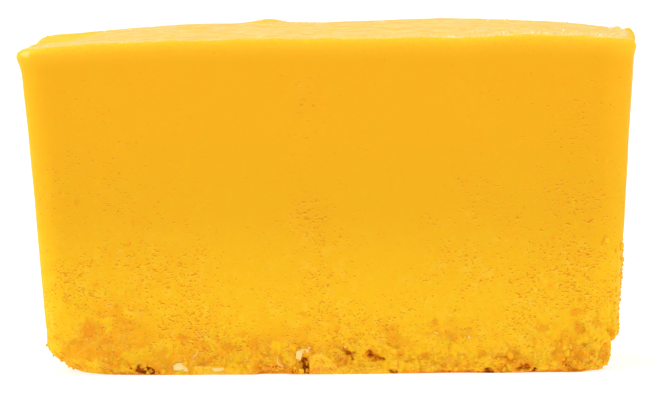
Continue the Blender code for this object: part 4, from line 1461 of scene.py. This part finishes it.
class SORBET_OT_add_ice(bpy.types.Operator):
    """Scatters frost crystals over the rim, thickest on the front right"""

    bl_idname = "sorbet.add_ice"
    bl_label = "Ice crystals"

    def execute(self, context):
        draw = np.random.default_rng(ICE_SEED)
        centres, normals, areas = surface_samples()
        x, y, z = centres.T
        on_top = smooth_step(normals[:, 2], 0.8, 0.97) * (z > 70 * MM)
        from_side = TOP_DEPTH / 2 - np.abs(y)
        from_end = TOP_LENGTH / 2 - np.abs(x)
        inside = np.minimum(from_side, from_end) > ICE_FROM_EDGE
        near_edge = np.exp(-np.minimum(from_side, from_end * 2) / ICE_FADE) * inside
        right = smooth_step(x, *ICE_RIGHT) * (y < 0) * smooth_step(from_end, *ICE_END)
        weight = areas * on_top * near_edge * (ICE_LEAST + right + ICE_BACK * (y > 0))
        places = []
        for number in drawn_places(draw, ICE_COUNT, weight):
            size = ICE_HALF_SIZE * draw.lognormal(0.3, 0.4)
            half_sizes = size * draw.uniform(0.6, 1.6, 3)
            centre = centres[number] + normals[number] * size * 0.4
            places.append((random_shape(draw, half_sizes), ICE_ROUGHNESS, centre))
        mesh = joined_copies("rim_ice", lump_template(1), places)
        new_piece("rim_ice", mesh, ice_material(context.scene.sorbet_colours))
        return {"FINISHED"}


class SORBET_OT_add_stage(bpy.types.Operator):
    """Lays the floor and sets the light and the camera"""

    bl_idname = "sorbet.add_stage"
    bl_label = "Stage"

    def execute(self, context):
        scene = context.scene
        stage = scene.sorbet_stage
        scene.view_settings.view_transform = "Standard"
        self.add_floor(scene)
        world = bpy.data.worlds.new("even_white")
        world.use_nodes = True
        background = world.node_tree.nodes["Background"]
        background.inputs["Color"].default_value = WHITE
        background.inputs["Strength"].default_value = stage.world
        scene.world = world
        for name, spread, source in LIGHTS:
            light = bpy.data.lights.new(f"light_{name}", "SUN")
            light.energy = getattr(stage, name)
            light.angle = radians(spread)
            lamp = bpy.data.objects.new(f"light_{name}", light)
            lamp.rotation_euler = Vector(source).to_track_quat("Z", "Y").to_euler()
            scene.collection.objects.link(lamp)
        self.add_camera(scene, stage)
        return {"FINISHED"}

    def add_floor(self, scene):
        mesh = bpy.data.meshes.new("floor")
        corners = [(x * FLOOR_REACH, y * FLOOR_REACH, 0) for x, y in ((-1, -1), (1, -1), (1, 1), (-1, 1))]
        mesh.from_pydata(corners, [], [(0, 1, 2, 3)])
        mesh.materials.append(floor_material(scene.sorbet_colours.floor))
        floor = bpy.data.objects.new("floor", mesh)
        scene.collection.objects.link(floor)

    def add_camera(self, scene, stage):
        level = cos(stage.elevation)
        away = Vector((sin(stage.azimuth) * level, -cos(stage.azimuth) * level, sin(stage.elevation)))
        data = bpy.data.cameras.new("camera")
        data.sensor_width = SENSOR_WIDTH
        data.lens = data.sensor_width * stage.distance / stage.view_width
        camera = bpy.data.objects.new("camera", data)
        turn = away.to_track_quat("Z", "Y").to_matrix() @ Matrix.Rotation(stage.roll, 3, "Z")
        camera.matrix_world = Matrix.Translation(Vector(VIEW_MIDDLE) + away * stage.distance) @ turn.to_4x4()
        scene.collection.objects.link(camera)
        scene.camera = camera


class SORBET_PT_panel(bpy.types.Panel):
    """The pieces and their settings"""

    bl_idname = "SORBET_PT_panel"
    bl_label = "Mango Sorbet"
    bl_space_type = "VIEW_3D"
    bl_region_type = "UI"
    bl_category = "Sorbet"

    def draw(self, context):
        layout = self.layout
        for operator in STEPS:
            layout.operator(operator.bl_idname)
        for group in (context.scene.sorbet_colours, context.scene.sorbet_stage):
            box = layout.box()
            for name in group.__annotations__:
                box.prop(group, name)


STEPS = (
    SORBET_OT_add_block,
    SORBET_OT_add_crumbs,
    SORBET_OT_add_flakes,
    SORBET_OT_add_fibres,
    SORBET_OT_add_ice,
    SORBET_OT_add_stage,
)
CLASSES = (SorbetColours, SorbetStage, *STEPS, SORBET_PT_panel)


def register():
    for cls in CLASSES:
        bpy.utils.register_class(cls)
    bpy.types.Scene.sorbet_colours = bpy.props.PointerProperty(type=SorbetColours)
    bpy.types.Scene.sorbet_stage = bpy.props.PointerProperty(type=SorbetStage)


def unregister():
    del bpy.types.Scene.sorbet_colours
    del bpy.types.Scene.sorbet_stage
    for cls in reversed(CLASSES):
        bpy.utils.unregister_class(cls)


def main():
    register()
    bpy.ops.sorbet.add_block()
    bpy.ops.sorbet.add_crumbs()
    bpy.ops.sorbet.add_flakes()
    bpy.ops.sorbet.add_fibres()
    bpy.ops.sorbet.add_ice()
    bpy.ops.sorbet.add_stage()


if __name__ == "__main__":
    main()
